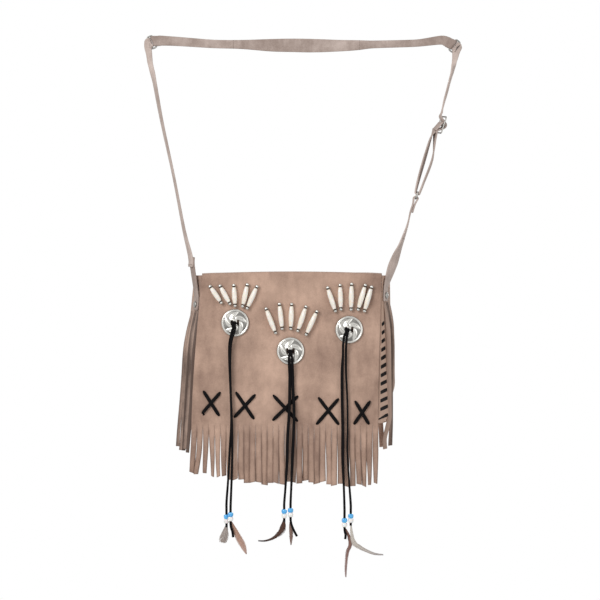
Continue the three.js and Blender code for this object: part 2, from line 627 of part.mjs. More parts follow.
// Strap hardware: rectangular wire rings and a slide with a middle bar
function frameOf(long, wide, bars, wire, thick) {
  const sides = [-1, 1].map((side) =>
    new THREE.BoxGeometry(long, wire, thick).translate(0, (side * (wide - wire)) / 2, 0));
  const rungs = bars.map((x) => new THREE.BoxGeometry(wire, wide, thick).translate(x, 0, 0));
  return geometryOf(joined([...sides, ...rungs]));
}
function setFrame(mesh, along, over, centre) {
  const basis = new THREE.Matrix4().makeBasis(along, over, along.clone().cross(over));
  mesh.quaternion.setFromRotationMatrix(basis);
  mesh.position.copy(centre);
}
const barOffset = (opening) => opening / 2 + RING_WIRE / 2;
function wireRing([long, wide]) {
  const ends = [-barOffset(long), barOffset(long)];
  return frameOf(long + 2 * RING_WIRE, wide + 2 * RING_WIRE, ends, RING_WIRE, RING_WIRE);
}

// A strap end folded round a bar: from the sewn stub on the over side, round the bar, to the strap's start
const turnRadius = RING_WIRE * 0.71 + GAP + STRAP_THICK / 2;
function fold(bar, body, over, wide, width) {
  const layer = STRAP_THICK / 2 + GAP;
  const at = (back, side) => {
    const middle = bar.clone().addScaledVector(body, back).addScaledVector(over, side);
    return across(middle, wide, width);
  };
  const turn = [0, 30, 60, 90, 120, 150, 180].map((degrees) => {
    const angle = THREE.MathUtils.degToRad(degrees);
    return at(-turnRadius * Math.sin(angle), turnRadius * Math.cos(angle));
  });
  const straight = turnRadius + FOLD_STUB / 4;
  return [
    at(FOLD_STUB, layer), at(straight, layer), ...turn, at(straight, -layer), at(FOLD_STUB + GAP, -layer),
  ];
}
// Stations of a strap: its place, how far its width is turned from the picture plane in degrees, and width
function run(stations) {
  return stations.map(([x, z, turned, width, y = 0], i) => {
    const [a, b] = [stations[Math.max(i - 1, 0)], stations[Math.min(i + 1, stations.length - 1)]];
    const level = V(-(b[1] - a[1]), 0, b[0] - a[0]).normalize();
    const angle = THREE.MathUtils.degToRad(turned);
    const wide = level.multiplyScalar(Math.cos(angle)).add(V(0, Math.sin(angle), 0));
    return across(V(x, y, z), wide, width);
  });
}

// Shoulder strap between its two corner rings
const LEFT_RING = V(-199.5, 0, 12);
const LEFT_DOWN = V(0.2, 0, -1).normalize();
const LEFT_IN = V(1, 0, 0.2).normalize();
const RIGHT_RING = V(229, 0, 9);
const RIGHT_DOWN = V(-0.12, 0, -1).normalize();
const RIGHT_IN = V(-1, 0, 0.12).normalize();
const SIT = (RING_INSIDE[0] - FOLDED) / 2 - GAP; // the strap sits at the upper end of a ring
const BACK = V(0, 1, 0);
const shoulderEnd = (ring, down, inward) => {
  const bar = ring.clone().addScaledVector(inward, barOffset(RING_INSIDE[1])).addScaledVector(down, -SIT);
  return fold(bar, inward, BACK, down.clone().negate(), FOLDED);
};
const shoulderRun = run([
  [-150, 17.2, 0, 13.4, -1], [-110, 13.4, 0, 12.6], [-72, 11.2, 0, 12.6], [-30, 10.3, 0, 17],
  [0, PAD_WIDTH / 2, 0, PAD_WIDTH], [30, PAD_WIDTH / 2, 0, PAD_WIDTH], [66, 10.9, 0, 16], [96, 11.8, 0, 12],
  [124, 12.4, 0, 11.4], [170, 13.6, 0, 12.6], [188, 14, 0, 12.6, -1],
]);
const leftEnd = shoulderEnd(LEFT_RING, LEFT_DOWN, LEFT_IN);
const rightEnd = shoulderEnd(RIGHT_RING, RIGHT_DOWN, RIGHT_IN).reverse();
place("shoulder_strap", strip([...leftEnd, ...shoulderRun, ...rightEnd], STRAP_THICK), strapSuede);
setFrame(place("left_ring", wireRing(RING_INSIDE), silver), LEFT_DOWN, LEFT_IN, LEFT_RING);
setFrame(place("right_ring", wireRing(RING_INSIDE), silver), RIGHT_DOWN, RIGHT_IN, RIGHT_RING);

// Left strap and its tab, which lies on the gusset over the header of the fringe
const hangBar = (ring, down) => ring.clone().addScaledVector(down, barOffset(RING_INSIDE[0]));
const LEFT_SEAM = [-FRONT_WIDTH / 2 - 16.5, POUCH_TOP + 12];
const LEFT_TURN = -63; // the band lies there as it does on the gusset
const leftRun = run([
  [-196.3, -30, -20, 8], [-194, -42, -55, 11],
  [-189.5, -66, -72, STRAP_WIDTH], [-182, -104, -75, STRAP_WIDTH],
  [-166.6, -175, -78, STRAP_WIDTH], [-152.2, -250, -74, STRAP_WIDTH],
  [LEFT_SEAM[0], LEFT_SEAM[1] + 14, LEFT_TURN, STRAP_WIDTH], [...LEFT_SEAM, LEFT_TURN, STRAP_WIDTH],
]);
const leftHang = fold(hangBar(LEFT_RING, LEFT_DOWN), LEFT_DOWN, BACK, LEFT_IN, GATHERED);
place("left_strap", strip([...leftHang, ...leftRun], STRAP_THICK), strapSuede);
const TAB_HEIGHT = GAP + SUEDE + GAP + STRAP_THICK / 2; // middle of a tab above the gusset
const TAB_DEPTH = 10; // middle of a tab behind the front seam
const LEFT_RIVET_Z = -355;
const RIGHT_RIVET_Z = -342;
const TAB_PAST_RIVET = 8;
const tabOnSide = (side, rivet) =>
  [rivet + 25, rivet + 12, rivet - TAB_PAST_RIVET].map((z) => {
    const wide = sideFrame(side, z).inward;
    return across(onSide(side, z, TAB_DEPTH, TAB_HEIGHT), wide.multiplyScalar(-1), STRAP_WIDTH);
  });
const TAB_OVERLAP = (STRAP_THICK + GAP) / Math.sin(THREE.MathUtils.degToRad(-LEFT_TURN));
const leftTab = run([
  [LEFT_SEAM[0] + TAB_OVERLAP, LEFT_SEAM[1] + 14, LEFT_TURN, STRAP_WIDTH],
  [LEFT_SEAM[0] + TAB_OVERLAP, LEFT_SEAM[1], LEFT_TURN, STRAP_WIDTH],
]);
place("left_tab", strip([...leftTab, ...tabOnSide(-1, LEFT_RIVET_Z)], STRAP_THICK), strapSuede);

// Right strap: from its corner ring through the slide, round the lower ring and back to the slide's bar
const SLIDE_AT = V(208, 0, -101);
const LOWER_RING = V(175.5, 0, -201.4);
const RIGHT_TAB_DOWN = V(-0.3, 0, -0.954).normalize();
const turnBar = LOWER_RING.clone().addScaledVector(RIGHT_TAB_DOWN, -barOffset(LOWER_RING_INSIDE[1]));
const SLIDE_DOWN = turnBar.clone().sub(SLIDE_AT).normalize();
const SLIDE_RIGHT = V(-SLIDE_DOWN.z, 0, SLIDE_DOWN.x);
const loopLength = turnBar.distanceTo(SLIDE_AT);
const beside = STRAP_THICK / 2 + SLIDE_THICK / 2 + GAP + 0.1; // strap beside an outer bar
const slideRadius = Math.hypot(SLIDE_BAR, SLIDE_THICK) / 2 + GAP + STRAP_THICK / 2 + 0.15;
const past = slideRadius + STRAP_THICK + GAP + 0.1; // strap beside the end that is sewn round the bar
const outer = SLIDE_HEIGHT / 2;
const barIn = outer - SLIDE_BAR - 0.6;
const arc = (centre, radius, way) =>
  [0, 45, 90, 135, 180].map((degrees) => {
    const angle = THREE.MathUtils.degToRad(degrees);
    return [centre + way * radius * Math.sin(angle), radius * Math.cos(angle)];
  });
const slideStations = [ // distance below the slide, to its right, and degrees of turn
  [-outer - 3, beside], [-barIn, beside], [-slideRadius, -past], [slideRadius, -past], [barIn, beside],
  [outer + 1.5, beside], [outer + 10, -3.5], [loopLength * 0.5, -5.6, 9], [loopLength * 0.83, -4.4, 7],
  ...arc(loopLength, turnRadius, 1).reverse(),
  [loopLength * 0.83, 4, 5], [loopLength * 0.5, 5.6, 8], [outer + 9, beside + 3.2],
  [barIn, beside + STRAP_THICK + 0.5],
  ...arc(0, slideRadius, -1), [1, -slideRadius],
];
const rightRun = run([
  [225.4, -30, 20, 8], [223.4, -42, 50, 11], [220, -58, 76, STRAP_WIDTH], [215.4, -76, 88, STRAP_WIDTH],
]);
const rightBar = hangBar(RIGHT_RING, RIGHT_DOWN);
const rightHang = fold(rightBar, RIGHT_DOWN, BACK, RIGHT_IN.clone().negate(), GATHERED);
const rightLoop = slideStations.map(([t, side, turned = 0]) => {
  const middle = SLIDE_AT.clone().addScaledVector(SLIDE_DOWN, t).addScaledVector(SLIDE_RIGHT, side);
  const angle = THREE.MathUtils.degToRad(turned);
  const wide = BACK.clone().multiplyScalar(Math.cos(angle)).addScaledVector(SLIDE_RIGHT, Math.sin(angle));
  return across(middle, wide, STRAP_WIDTH);
});
place("right_strap", strip([...rightHang, ...rightRun, ...rightLoop], STRAP_THICK), strapSuede);
const slideBars = [-1, 0, 1].map((k) => (k * (SLIDE_HEIGHT - SLIDE_BAR)) / 2);
const slide = frameOf(SLIDE_HEIGHT, STRAP_WIDTH + 1 + 2 * SLIDE_BAR, slideBars, SLIDE_BAR, SLIDE_THICK);
setFrame(place("slide_buckle", slide, silver), SLIDE_DOWN, BACK, SLIDE_AT);
setFrame(
  place("lower_ring", wireRing([LOWER_RING_INSIDE[1], LOWER_RING_INSIDE[0]]), silver),
  RIGHT_TAB_DOWN, BACK, LOWER_RING,
);

// Right tab, folded round the lower ring and fixed to the gusset
const tabBar = LOWER_RING.clone().addScaledVector(RIGHT_TAB_DOWN, barOffset(LOWER_RING_INSIDE[1]));
const tabOver = RIGHT_TAB_DOWN.clone().cross(BACK);
const tabFold = fold(tabBar, RIGHT_TAB_DOWN, tabOver, BACK, STRAP_WIDTH);
const rightTab = run([
  [162.6, -243, 84, STRAP_WIDTH], [156.2, -262, 73, STRAP_WIDTH], [152, -273.4, 64, STRAP_WIDTH],
  [147.2, -285, 46, 14.5], [142.8, -296.7, 32, 14.5], [139.4, -306, 36, 14.5],
]);
const rightTabEnd = tabOnSide(1, RIGHT_RIVET_Z).map(([a, b]) => [b, a]);
place("right_tab", strip([...tabFold, ...rightTab, ...rightTabEnd], STRAP_THICK), strapSuede);

// Rivets that fasten the tabs
function rivet() {
  const r = RIVET_RADIUS;
  const h = RIVET_HEIGHT;
  const profile = [[0, 0], [r, 0], [r, h * 0.4], [r * 0.7, h * 0.85], [0, h]];
  return new THREE.LatheGeometry(profile.map(([x, y]) => new THREE.Vector2(x, y)), 12);
}
for (const [name, side, z] of [["left", -1, LEFT_RIVET_Z], ["right", 1, RIGHT_RIVET_Z]]) {
  const head = place(`${name}_tab_rivet`, rivet(), silver);
  head.quaternion.setFromUnitVectors(V(0, 1, 0), sideFrame(side, z).out);
  head.position.copy(onSide(side, z, TAB_DEPTH, TAB_HEIGHT + STRAP_THICK / 2 + GAP));
}

export default bag;
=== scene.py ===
# Fringed suede shoulder bag, hung by its strap. Metres, +Z up, the front looks along -Y.
import random
from math import cos, exp, hypot, pi, radians, sin, sqrt

import bpy
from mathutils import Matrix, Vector


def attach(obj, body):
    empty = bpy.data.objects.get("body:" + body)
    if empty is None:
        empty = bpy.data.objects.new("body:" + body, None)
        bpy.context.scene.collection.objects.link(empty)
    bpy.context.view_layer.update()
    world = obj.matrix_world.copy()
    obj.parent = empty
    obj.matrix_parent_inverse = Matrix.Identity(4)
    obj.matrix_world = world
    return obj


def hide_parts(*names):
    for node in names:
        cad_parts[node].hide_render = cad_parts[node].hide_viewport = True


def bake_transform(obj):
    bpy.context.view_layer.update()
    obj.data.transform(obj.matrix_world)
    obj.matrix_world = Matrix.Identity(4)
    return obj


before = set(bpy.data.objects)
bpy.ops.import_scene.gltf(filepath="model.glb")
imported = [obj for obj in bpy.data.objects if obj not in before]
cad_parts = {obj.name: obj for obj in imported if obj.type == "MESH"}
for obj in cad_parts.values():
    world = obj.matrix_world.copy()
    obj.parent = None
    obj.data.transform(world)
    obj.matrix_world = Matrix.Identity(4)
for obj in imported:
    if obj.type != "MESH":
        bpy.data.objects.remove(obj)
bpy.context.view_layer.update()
scene = bpy.context.scene

# Camera: straight in front of the flap and level with the middle of the hanging bag,
# far enough off for the flat look of a long lens.
MM = 0.001
PICTURE_WIDTH = 840
CAMERA_X, CAMERA_Z = 11.2, -348.6
CAMERA_AWAY, FLAP_PLANE = 3000, -18
SENSOR = 36
lens = bpy.data.cameras.new("camera")
lens.sensor_width = SENSOR
lens.lens = SENSOR * CAMERA_AWAY / PICTURE_WIDTH
camera = bpy.data.objects.new("camera", lens)
camera.location = Vector((CAMERA_X, FLAP_PLANE - CAMERA_AWAY, CAMERA_Z)) * MM
camera.rotation_euler = (pi / 2, 0, 0)
scene.collection.objects.link(camera)
scene.camera = camera
scene.view_settings.view_transform = "Standard"


# Studio: a wide soft lamp high on the left, a weaker one on the right and one behind,
# and a pale round floor well under the bag, so that the backdrop stays plain white.
def node(tree, kind, inputs=None, **settings):
    made = tree.nodes.new("ShaderNode" + kind)
    for key, value in settings.items():
        setattr(made, key, value)
    for key, value in (inputs or {}).items():
        if isinstance(value, bpy.types.NodeSocket):
            tree.links.new(value, made.inputs[key])
        else:
            made.inputs[key].default_value = value
    return made


def maths(tree, operation, a, b, c=0):
    return node(tree, "Math", {0: a, 1: b, 2: c}, operation=operation).outputs[0]


def surface(name, **sockets):
    finish = bpy.data.materials.new(name)
    finish.use_nodes = True
    shader = finish.node_tree.nodes["Principled BSDF"]
    for key, value in sockets.items():
        shader.inputs[key.replace("_", " ")].default_value = value
    return finish, finish.node_tree, shader


def soft_lamp(name, place, aim, watts, size):
    data = bpy.data.lights.new(name, "AREA")
    data.energy = watts
    data.size = size
    lamp = bpy.data.objects.new(name, data)
    lamp.location = place
    lamp.rotation_mode = "QUATERNION"
    lamp.rotation_quaternion = (Vector(aim) - Vector(place)).to_track_quat("-Z", "Y")
    scene.collection.objects.link(lamp)


BAG_MIDDLE = (0, 0, -0.36)
soft_lamp("key_lamp", (-1.5, -2.3, 0.75), BAG_MIDDLE, 46, 1.3)
soft_lamp("fill_lamp", (1.9, -1.9, -0.1), BAG_MIDDLE, 12, 1.6)
soft_lamp("back_lamp", (0.6, 2.4, 0.5), BAG_MIDDLE, 34, 1.8)

backdrop = bpy.data.worlds.new("backdrop")
backdrop.use_nodes = True
tree = backdrop.node_tree
tree.nodes.clear()
ray = node(tree, "LightPath").outputs
seen = maths(tree, "MAXIMUM", ray["Is Camera Ray"], ray["Is Glossy Ray"])
seen = maths(tree, "MAXIMUM", seen, ray["Is Transmission Ray"])
room = node(tree, "Background", {"Color": (1, 1, 1, 1), "Strength": 0.42})
white = node(tree, "Background", {"Color": (1, 1, 1, 1), "Strength": 1.0})
sky = node(tree, "MixShader", {0: seen, 1: room.outputs[0], 2: white.outputs[0]})
node(tree, "OutputWorld", {"Surface": sky.outputs[0]})
scene.world = backdrop

FLOOR_Z, FLOOR_RADIUS, FLOOR_SIDES = -1.0, 0.78, 96
angles = [2 * pi * k / FLOOR_SIDES for k in range(FLOOR_SIDES)]
rim = [(FLOOR_RADIUS * cos(a), FLOOR_RADIUS * sin(a), FLOOR_Z) for a in angles]
floor_mesh = bpy.data.meshes.new("floor")
floor_mesh.from_pydata(rim, [], [range(FLOOR_SIDES)])
floor_mesh.materials.append(surface("pale_floor", Base_Color=(0.86, 0.86, 0.86, 1), Roughness=0.9)[0])
floor = bpy.data.objects.new("floor", floor_mesh)
scene.collection.objects.link(floor)


# Pouch: two suede panels sewn to one gusset strip that makes both sides and the bottom.
# The suede is a soft, napped split hide, brushed light and dark in patches.
def ink(red, green, blue):
    def linear(value):
        share = value / 255
        return share / 12.92 if share <= 0.04045 else ((share + 0.055) / 1.055) ** 2.4

    return (linear(red), linear(green), linear(blue), 1)


def effect(name, inputs, outputs):
    group = bpy.data.node_groups.new(name, "ShaderNodeTree")
    for label, kind in inputs.items():
        group.interface.new_socket(label, in_out="INPUT", socket_type="NodeSocket" + kind)
    for label, kind in outputs.items():
        group.interface.new_socket(label, in_out="OUTPUT", socket_type="NodeSocket" + kind)
    return group, group.nodes.new("NodeGroupInput").outputs, group.nodes.new("NodeGroupOutput")


def mixed(tree, share, a, b):
    return node(tree, "Mix", {0: share, 6: a, 7: b}, data_type="RGBA").outputs[2]


def noise(tree, scale, detail, place=None, **more):
    if place is None:
        place = node(tree, "TexCoord").outputs["Object"]
    return node(tree, "TexNoise", {"Vector": place, "Scale": scale, "Detail": detail, **more}).outputs[0]


def stretched(tree, scale, rotation=(0, 0, 0)):
    place = node(tree, "TexCoord").outputs["Object"]
    return node(tree, "Mapping", {"Vector": place, "Scale": scale, "Rotation": rotation}).outputs[0]


def ranged(tree, value, low, high, start=0, stop=1):
    span = {"From Min": start, "From Max": stop, "To Min": low, "To Max": high}
    return node(tree, "MapRange", {"Value": value, **span}).outputs[0]


def bumped(tree, height, strength, depth):
    return node(tree, "Bump", {"Height": height, "Strength": strength, "Distance": depth}).outputs[0]


def own_value(tree, name):
    return node(tree, "Attribute", attribute_name=name).outputs["Fac"]


def send(tree, target, **sockets):
    for key, value in sockets.items():
        tree.links.new(value, target.inputs[key.replace("_", " ")])


def dressed(name, group, looks, strength, depth, **sockets):
    # a material whose colour, bump and, where the group has it, roughness come from a group
    finish, tree, shader = surface(name, **sockets)
    made = node(tree, "Group", looks, node_tree=group).outputs
    send(tree, shader, Base_Color=made["Color"], Normal=bumped(tree, made["Height"], strength, depth))
    if "Roughness" in made:
        send(tree, shader, Roughness=made["Roughness"])
    return finish


suede_nap, given, put = effect(
    "suede_nap",
    {"Light": "Color", "Dark": "Color", "Patches": "Float", "Nap": "Float"},
    {"Color": "Color", "Height": "Float", "Roughness": "Float"},
)
patches = noise(suede_nap, given["Patches"], 6, Roughness=0.62)
brushed = noise(suede_nap, 130, 5, stretched(suede_nap, (1, 1, 0.3), (0, 0.5, 0)), Roughness=0.6)
nap = noise(suede_nap, given["Nap"], 4, Roughness=0.75)
tone = maths(suede_nap, "MULTIPLY_ADD", patches, 1.9, -1.0)
# each point's 'shade' value adds to the tone: on the gusset, flap, side fringes, shoulder band and strap
# loop it is painted light and shade, on the left tab and in the random strand tones it is the piece's own
# tone
for layer, weight in ((brushed, 0.55), (nap, 0.65), (own_value(suede_nap, "shade"), 1.0)):
    tone = maths(suede_nap, "MULTIPLY_ADD", layer, weight, tone)
tone.node.use_clamp = True
send(
    suede_nap,
    put,
    Color=mixed(suede_nap, tone, given["Dark"], given["Light"]),
    Height=maths(suede_nap, "MULTIPLY_ADD", nap, 0.75, maths(suede_nap, "MULTIPLY", brushed, 0.6)),
    Roughness=ranged(suede_nap, nap, 0.82, 1.0),
)


def suede(name, light, dark, patches, nap):
    looks = {"Light": light, "Dark": dark, "Patches": patches, "Nap": nap}
    sheen = {"Sheen_Weight": 0.22, "Sheen_Roughness": 0.55, "Sheen_Tint": (1, 0.94, 0.88, 1)}
    return dressed(name, suede_nap, looks, 0.5, 0.0009, Specular_IOR_Level=0.12, **sheen)


bag_suede = suede("bag_suede", ink(208, 175, 155), ink(146, 119, 105), 19, 620)


def piece(name, points, faces, finishes):
    mesh = bpy.data.meshes.new(name)
    mesh.from_pydata([Vector(p) * MM for p in points], [], faces)
    for finish in finishes if isinstance(finishes, list) else [finishes]:
        mesh.materials.append(finish)
    mesh.polygons.foreach_set("use_smooth", [True] * len(mesh.polygons))
    made = bpy.data.objects.new(name, mesh)
    scene.collection.objects.link(made)
    return made


def shades(made, values, name="shade"):
    # one value for the whole piece, or one for each of its points
    values = values if isinstance(values, list) else [values] * len(made.data.vertices)
    layer = made.data.attributes.new(name, "FLOAT", "POINT")
    layer.data.foreach_set("value", values)


def thick(made, thickness, side):
    hide = made.modifiers.new("hide", "SOLIDIFY")
    hide.thickness = thickness * MM
    hide.offset = side
    bpy.context.view_layer.update()
    ready = made.evaluated_get(bpy.context.evaluated_depsgraph_get())
    made.data = bpy.data.meshes.new_from_object(ready)
    made.modifiers.clear()
    return made


def fixed(made, body, slot, *nodes):
    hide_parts(*nodes)
    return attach(made, body)


def grid(rows, columns):
    return [
        (j * columns + i, j * columns + i + 1, (j + 1) * columns + i + 1, (j + 1) * columns + i)
        for j in range(rows - 1)
        for i in range(columns - 1)
    ]


def billow(x, z):
    slow = sin(0.031 * x + 0.017 * z + 0.7) + 0.6 * sin(0.057 * x - 0.043 * z + 2.1)
    return 0.5 + 0.25 * (slow + 0.4 * sin(0.071 * z + 0.013 * x))


SUEDE, GAP = 1.6, 0.3
POUCH_TOP, POUCH_BOTTOM, POUCH_FRONT = -314, -522, -12
MOUTH_DEPTH, BASE_DEPTH = 24, 42
FRONT_WIDTH, FLARE, CORNER = 250, 0.5, 14
POUCH_LEAN, POUCH_SPREAD = 9, 4
FRONT_SWELL, BACK_SWELL, SIDE_SWELL = 0.9, 2.6, 0.7
PANEL_ROWS, PANEL_COLUMNS = 44, 52
GUSSET_ROWS, GUSSET_COLUMNS, CORNER_ROWS = 30, 10, 8
SEAM_INSET, RIGHT_SIDE_PAINTED_LIGHT = 0.012, 0.9
PANEL_FACE = POUCH_FRONT - GAP - SUEDE
BACK_OUTER = POUCH_FRONT + MOUTH_DEPTH + GAP + SUEDE


def lerp(a, b, share):
    return a + (b - a) * share


def drop_share(z):
    return (POUCH_TOP - z) / (POUCH_TOP - POUCH_BOTTOM)


def seam(side, z, back, inset=0):
    depth = lerp(MOUTH_DEPTH, BASE_DEPTH, drop_share(z)) if back else 0
    half = FRONT_WIDTH / 2 + POUCH_SPREAD * drop_share(z)
    x = side * (half + FLARE * depth - inset) - POUCH_LEAN * drop_share(z)
    return Vector((x, POUCH_FRONT + depth, z))


def corner(z):
    into = max(0, POUCH_BOTTOM + CORNER - z) / CORNER
    return CORNER * (1 - sqrt(max(0, 1 - into * into)))


def panel(face, back):
    points = []
    for j in range(PANEL_ROWS):
        z = lerp(POUCH_TOP, POUCH_BOTTOM, j / (PANEL_ROWS - 1))
        left, right = [seam(side, z, back, corner(z)) for side in (-1, 1)]
        for i in range(PANEL_COLUMNS):
            share = i / (PANEL_COLUMNS - 1)
            p = left.lerp(right, share)
            swell = sin(pi * share) * sin(pi * min(1, drop_share(z) * 0.96))
            if back:
                p.y += GAP + SUEDE + BACK_SWELL * swell * billow(p.x + 60, z)
            else:
                p.y += -GAP - SUEDE + FRONT_SWELL * swell * billow(p.x, z)
            points.append(p)
    faces = grid(PANEL_ROWS, PANEL_COLUMNS)
    made = piece(f"{face}_suede", points, [f[::-1] for f in faces] if back else faces, bag_suede)
    fixed(thick(made, SUEDE, 1), "bag", "bag_suede", f"{face}_panel")


panel("front", False)
panel("back", True)

gusset_run = []
for side in (-1, 1):
    heights = [lerp(POUCH_TOP, POUCH_BOTTOM + CORNER, k / GUSSET_ROWS) for k in range(GUSSET_ROWS + 1)]
    half_run = [(side, z, 0) for z in heights]
    for k in range(1, CORNER_ROWS + 1):
        angle = k / CORNER_ROWS * pi / 2
        rise, inset = CORNER * (1 - sin(angle)), CORNER * (1 - cos(angle))
        half_run.append((side, POUCH_BOTTOM + rise, inset))
    gusset_run += half_run if side < 0 else half_run[::-1]
points = []
for side, z, inset in gusset_run:
    for i in range(GUSSET_COLUMNS):
        share = lerp(SEAM_INSET, 1 - SEAM_INSET, i / (GUSSET_COLUMNS - 1))
        p = seam(side, z, False, inset).lerp(seam(side, z, True, inset), share)
        hollow = sin(pi * share) * billow(40 * share, z * 1.6) * (1 - inset / CORNER)
        p.x -= side * SIDE_SWELL * hollow
        points.append(p)
gusset = thick(piece("gusset_suede", points, grid(len(gusset_run), GUSSET_COLUMNS), bag_suede), SUEDE, 1)
# painted light: the right side of the gusset is painted lighter than the left
shades(gusset, [RIGHT_SIDE_PAINTED_LIGHT if vertex.co.x > 0 else 0 for vertex in gusset.data.vertices])
fixed(gusset, "bag", "bag_suede", "gusset")


# Side lacing: one black leather lace on each side, whipped in slanted stitches through holes
# along the front seam of the gusset and carried down on the inside.
lace_leather, tree, shader = surface("black_lace", Specular_IOR_Level=0.1)
fibre = noise(tree, 900, 4, Roughness=0.7)
bends = noise(tree, 120, 2)
black = mixed(tree, maths(tree, "MULTIPLY", fibre, bends), ink(3, 2, 3), ink(18, 15, 17))
dull, raised = ranged(tree, bends, 0.5, 0.85), bumped(tree, fibre, 0.4, 0.0006)
send(tree, shader, Base_Color=black, Roughness=dull, Normal=raised)
STRIP_SIDES = 10


def rounded(values, steps):
    line = []
    for k in range(len(values) - 1):
        before, a = values[max(k - 1, 0)], values[k]
        b, after = values[k + 1], values[min(k + 2, len(values) - 1)]
        for i in range(steps):
            t = i / steps
            bend = (b - a) * t + a
            pull = (a * 2 - before - b) * (t * (1 - t) ** 2) + (b * 2 - a - after) * (t * t * (1 - t))
            line.append(bend + pull * 0.5)
    return line + [values[-1]]


def flat_section(width, height):
    side = width / 2 - height / 2
    turns = [radians(-90 + 45 * k) for k in range(5)]
    return [(s * (side + height / 2 * cos(a)), s * height / 2 * sin(a)) for s in (1, -1) for a in turns]


def sleeve(rings, sides):
    # the quads of a tube whose points come ring by ring
    faces = []
    for k in range(rings - 1):
        for i in range(sides):
            n = (i + 1) % sides
            faces.append((k * sides + i, k * sides + n, (k + 1) * sides + n, (k + 1) * sides + i))
    return faces


def strip(path, wides, widths, height, steps=4):
    path = rounded([Vector(p) for p in path], steps)
    wides = rounded([Vector(w).normalized() for w in wides], steps)
    widths = rounded([float(w) for w in widths], steps)
    points = []
    for k, (middle, wide, width) in enumerate(zip(path, wides, widths)):
        along = path[min(k + 1, len(path) - 1)] - path[max(k - 1, 0)]
        over = along.cross(wide).normalized()
        wide = over.cross(along).normalized()
        points += [middle + wide * x + over * y for x, y in flat_section(width, height)]
    final = (len(path) - 1) * STRIP_SIDES
    caps = [tuple(range(STRIP_SIDES))[::-1], tuple(range(final, final + STRIP_SIDES))]
    return points, sleeve(len(path), STRIP_SIDES) + caps


def together(name, parts, finishes, indices=None):
    points, faces, kinds = [], [], []
    for k, (more, outlines) in enumerate(parts):
        faces += [tuple(len(points) + i for i in face) for face in outlines]
        points += more
        kinds += [indices[k] if indices else 0] * len(outlines)
    made = piece(name, points, faces, finishes)
    made.data.polygons.foreach_set("material_index", kinds)
    return made


STITCHES, STITCH_TOP, STITCH_PITCH = 12, -384, 11.87
STITCH_NEAR, STITCH_RISE, STITCH_FAR = 2, 4, (12, 34)
CORNER_SINK = -0.85
LACE_WIDTH, LACE_THICK, SIDE_LACE = 3.8, 1.2, 5.4
LACE_UNDER = -SUEDE - GAP - LACE_THICK / 2
STITCH_ROUTE = ((0, LACE_UNDER), (0, 0.5), (0.3, 1.15), (0.7, 1.15), (1, 0.5), (1, LACE_UNDER))


def side_frame(side, z):
    front, back = seam(side, z, False), seam(side, z, True)
    inward = (back - front).normalized()
    down = (seam(side, z - 1, False) - front).normalized()
    return front, inward, inward.cross(down).normalized() * -side


def on_side(side, z, depth, height):
    front, inward, out = side_frame(side, z)
    return front + inward * depth + out * height


for side, name in ((-1, "left"), (1, "right")):
    path, wides = [], []
    for k in range(STITCHES):
        z = STITCH_TOP - k * STITCH_PITCH
        top = z + STITCH_RISE
        near = on_side(side, z, STITCH_NEAR, CORNER_SINK * corner(z))
        far = on_side(side, top, lerp(*STITCH_FAR, k / (STITCHES - 1)), CORNER_SINK * corner(top))
        out = side_frame(side, z)[2]
        path += [near.lerp(far, share) + out * height for share, height in STITCH_ROUTE]
        wides += [(far - near).cross(out)] * len(STITCH_ROUTE)
    lace = strip(path, wides, [SIDE_LACE] * len(path), LACE_THICK)
    fixed(together(f"{name}_whip_lace", [lace], lace_leather), "bag", "black_lace", f"{name}_side_lacing")


# Side fringe: a strip of suede on each side, held under the strap tab and cut into long strands
# that hang free and curl a little. Light and shade are painted on them: whole strands are painted
# lighter or darker, and one edge of each strand darker, as shade in the gaps between strands.
chance = random.Random(11)
SIDE_HEADER, SIDE_LENGTH, SLIT = 22, 216, 1.1
SIDE_STEPS, STRAND_OUT = 14, 4.2
HEADER_TONE, STRAND_GAP_SHADE = 0.5, -0.55
SIDE_FRINGES = (
    {
        "name": "left", "side": -1, "top": -344, "nearest": 1, "width": 4.6, "spread": 0.9, "gather": 0.4,
        "drift": 0, "spring": 3, "longer": 0, "wave": 0.9, "turn": 0.85, "press": 0,
        "tones": (-1.2, 0.2, -0.3, 0.4, 0.2), "swing": ((0, 0.82, 0.18),) * 5,
    },
    {
        "name": "right", "side": 1, "top": -331, "nearest": 7, "width": 6.4, "spread": 0.7, "gather": -2.6,
        "drift": 33, "spring": 5, "longer": 10, "wave": 0.5, "turn": 1.1, "press": 0.8,
        "tones": (1.9, -0.1, 0.7), "swing": ((-8, 0.81, 0.1), (-3, 0.82, 0.18), (-17, 0.6, 0.18)),
    },
)


def clamp(value):
    return min(1, max(0, value))


def uneven(k, seed):
    return (sin(k * 12.9898 + seed * 78.233) + sin(k * 4.1 + seed * 2.7)) / 2


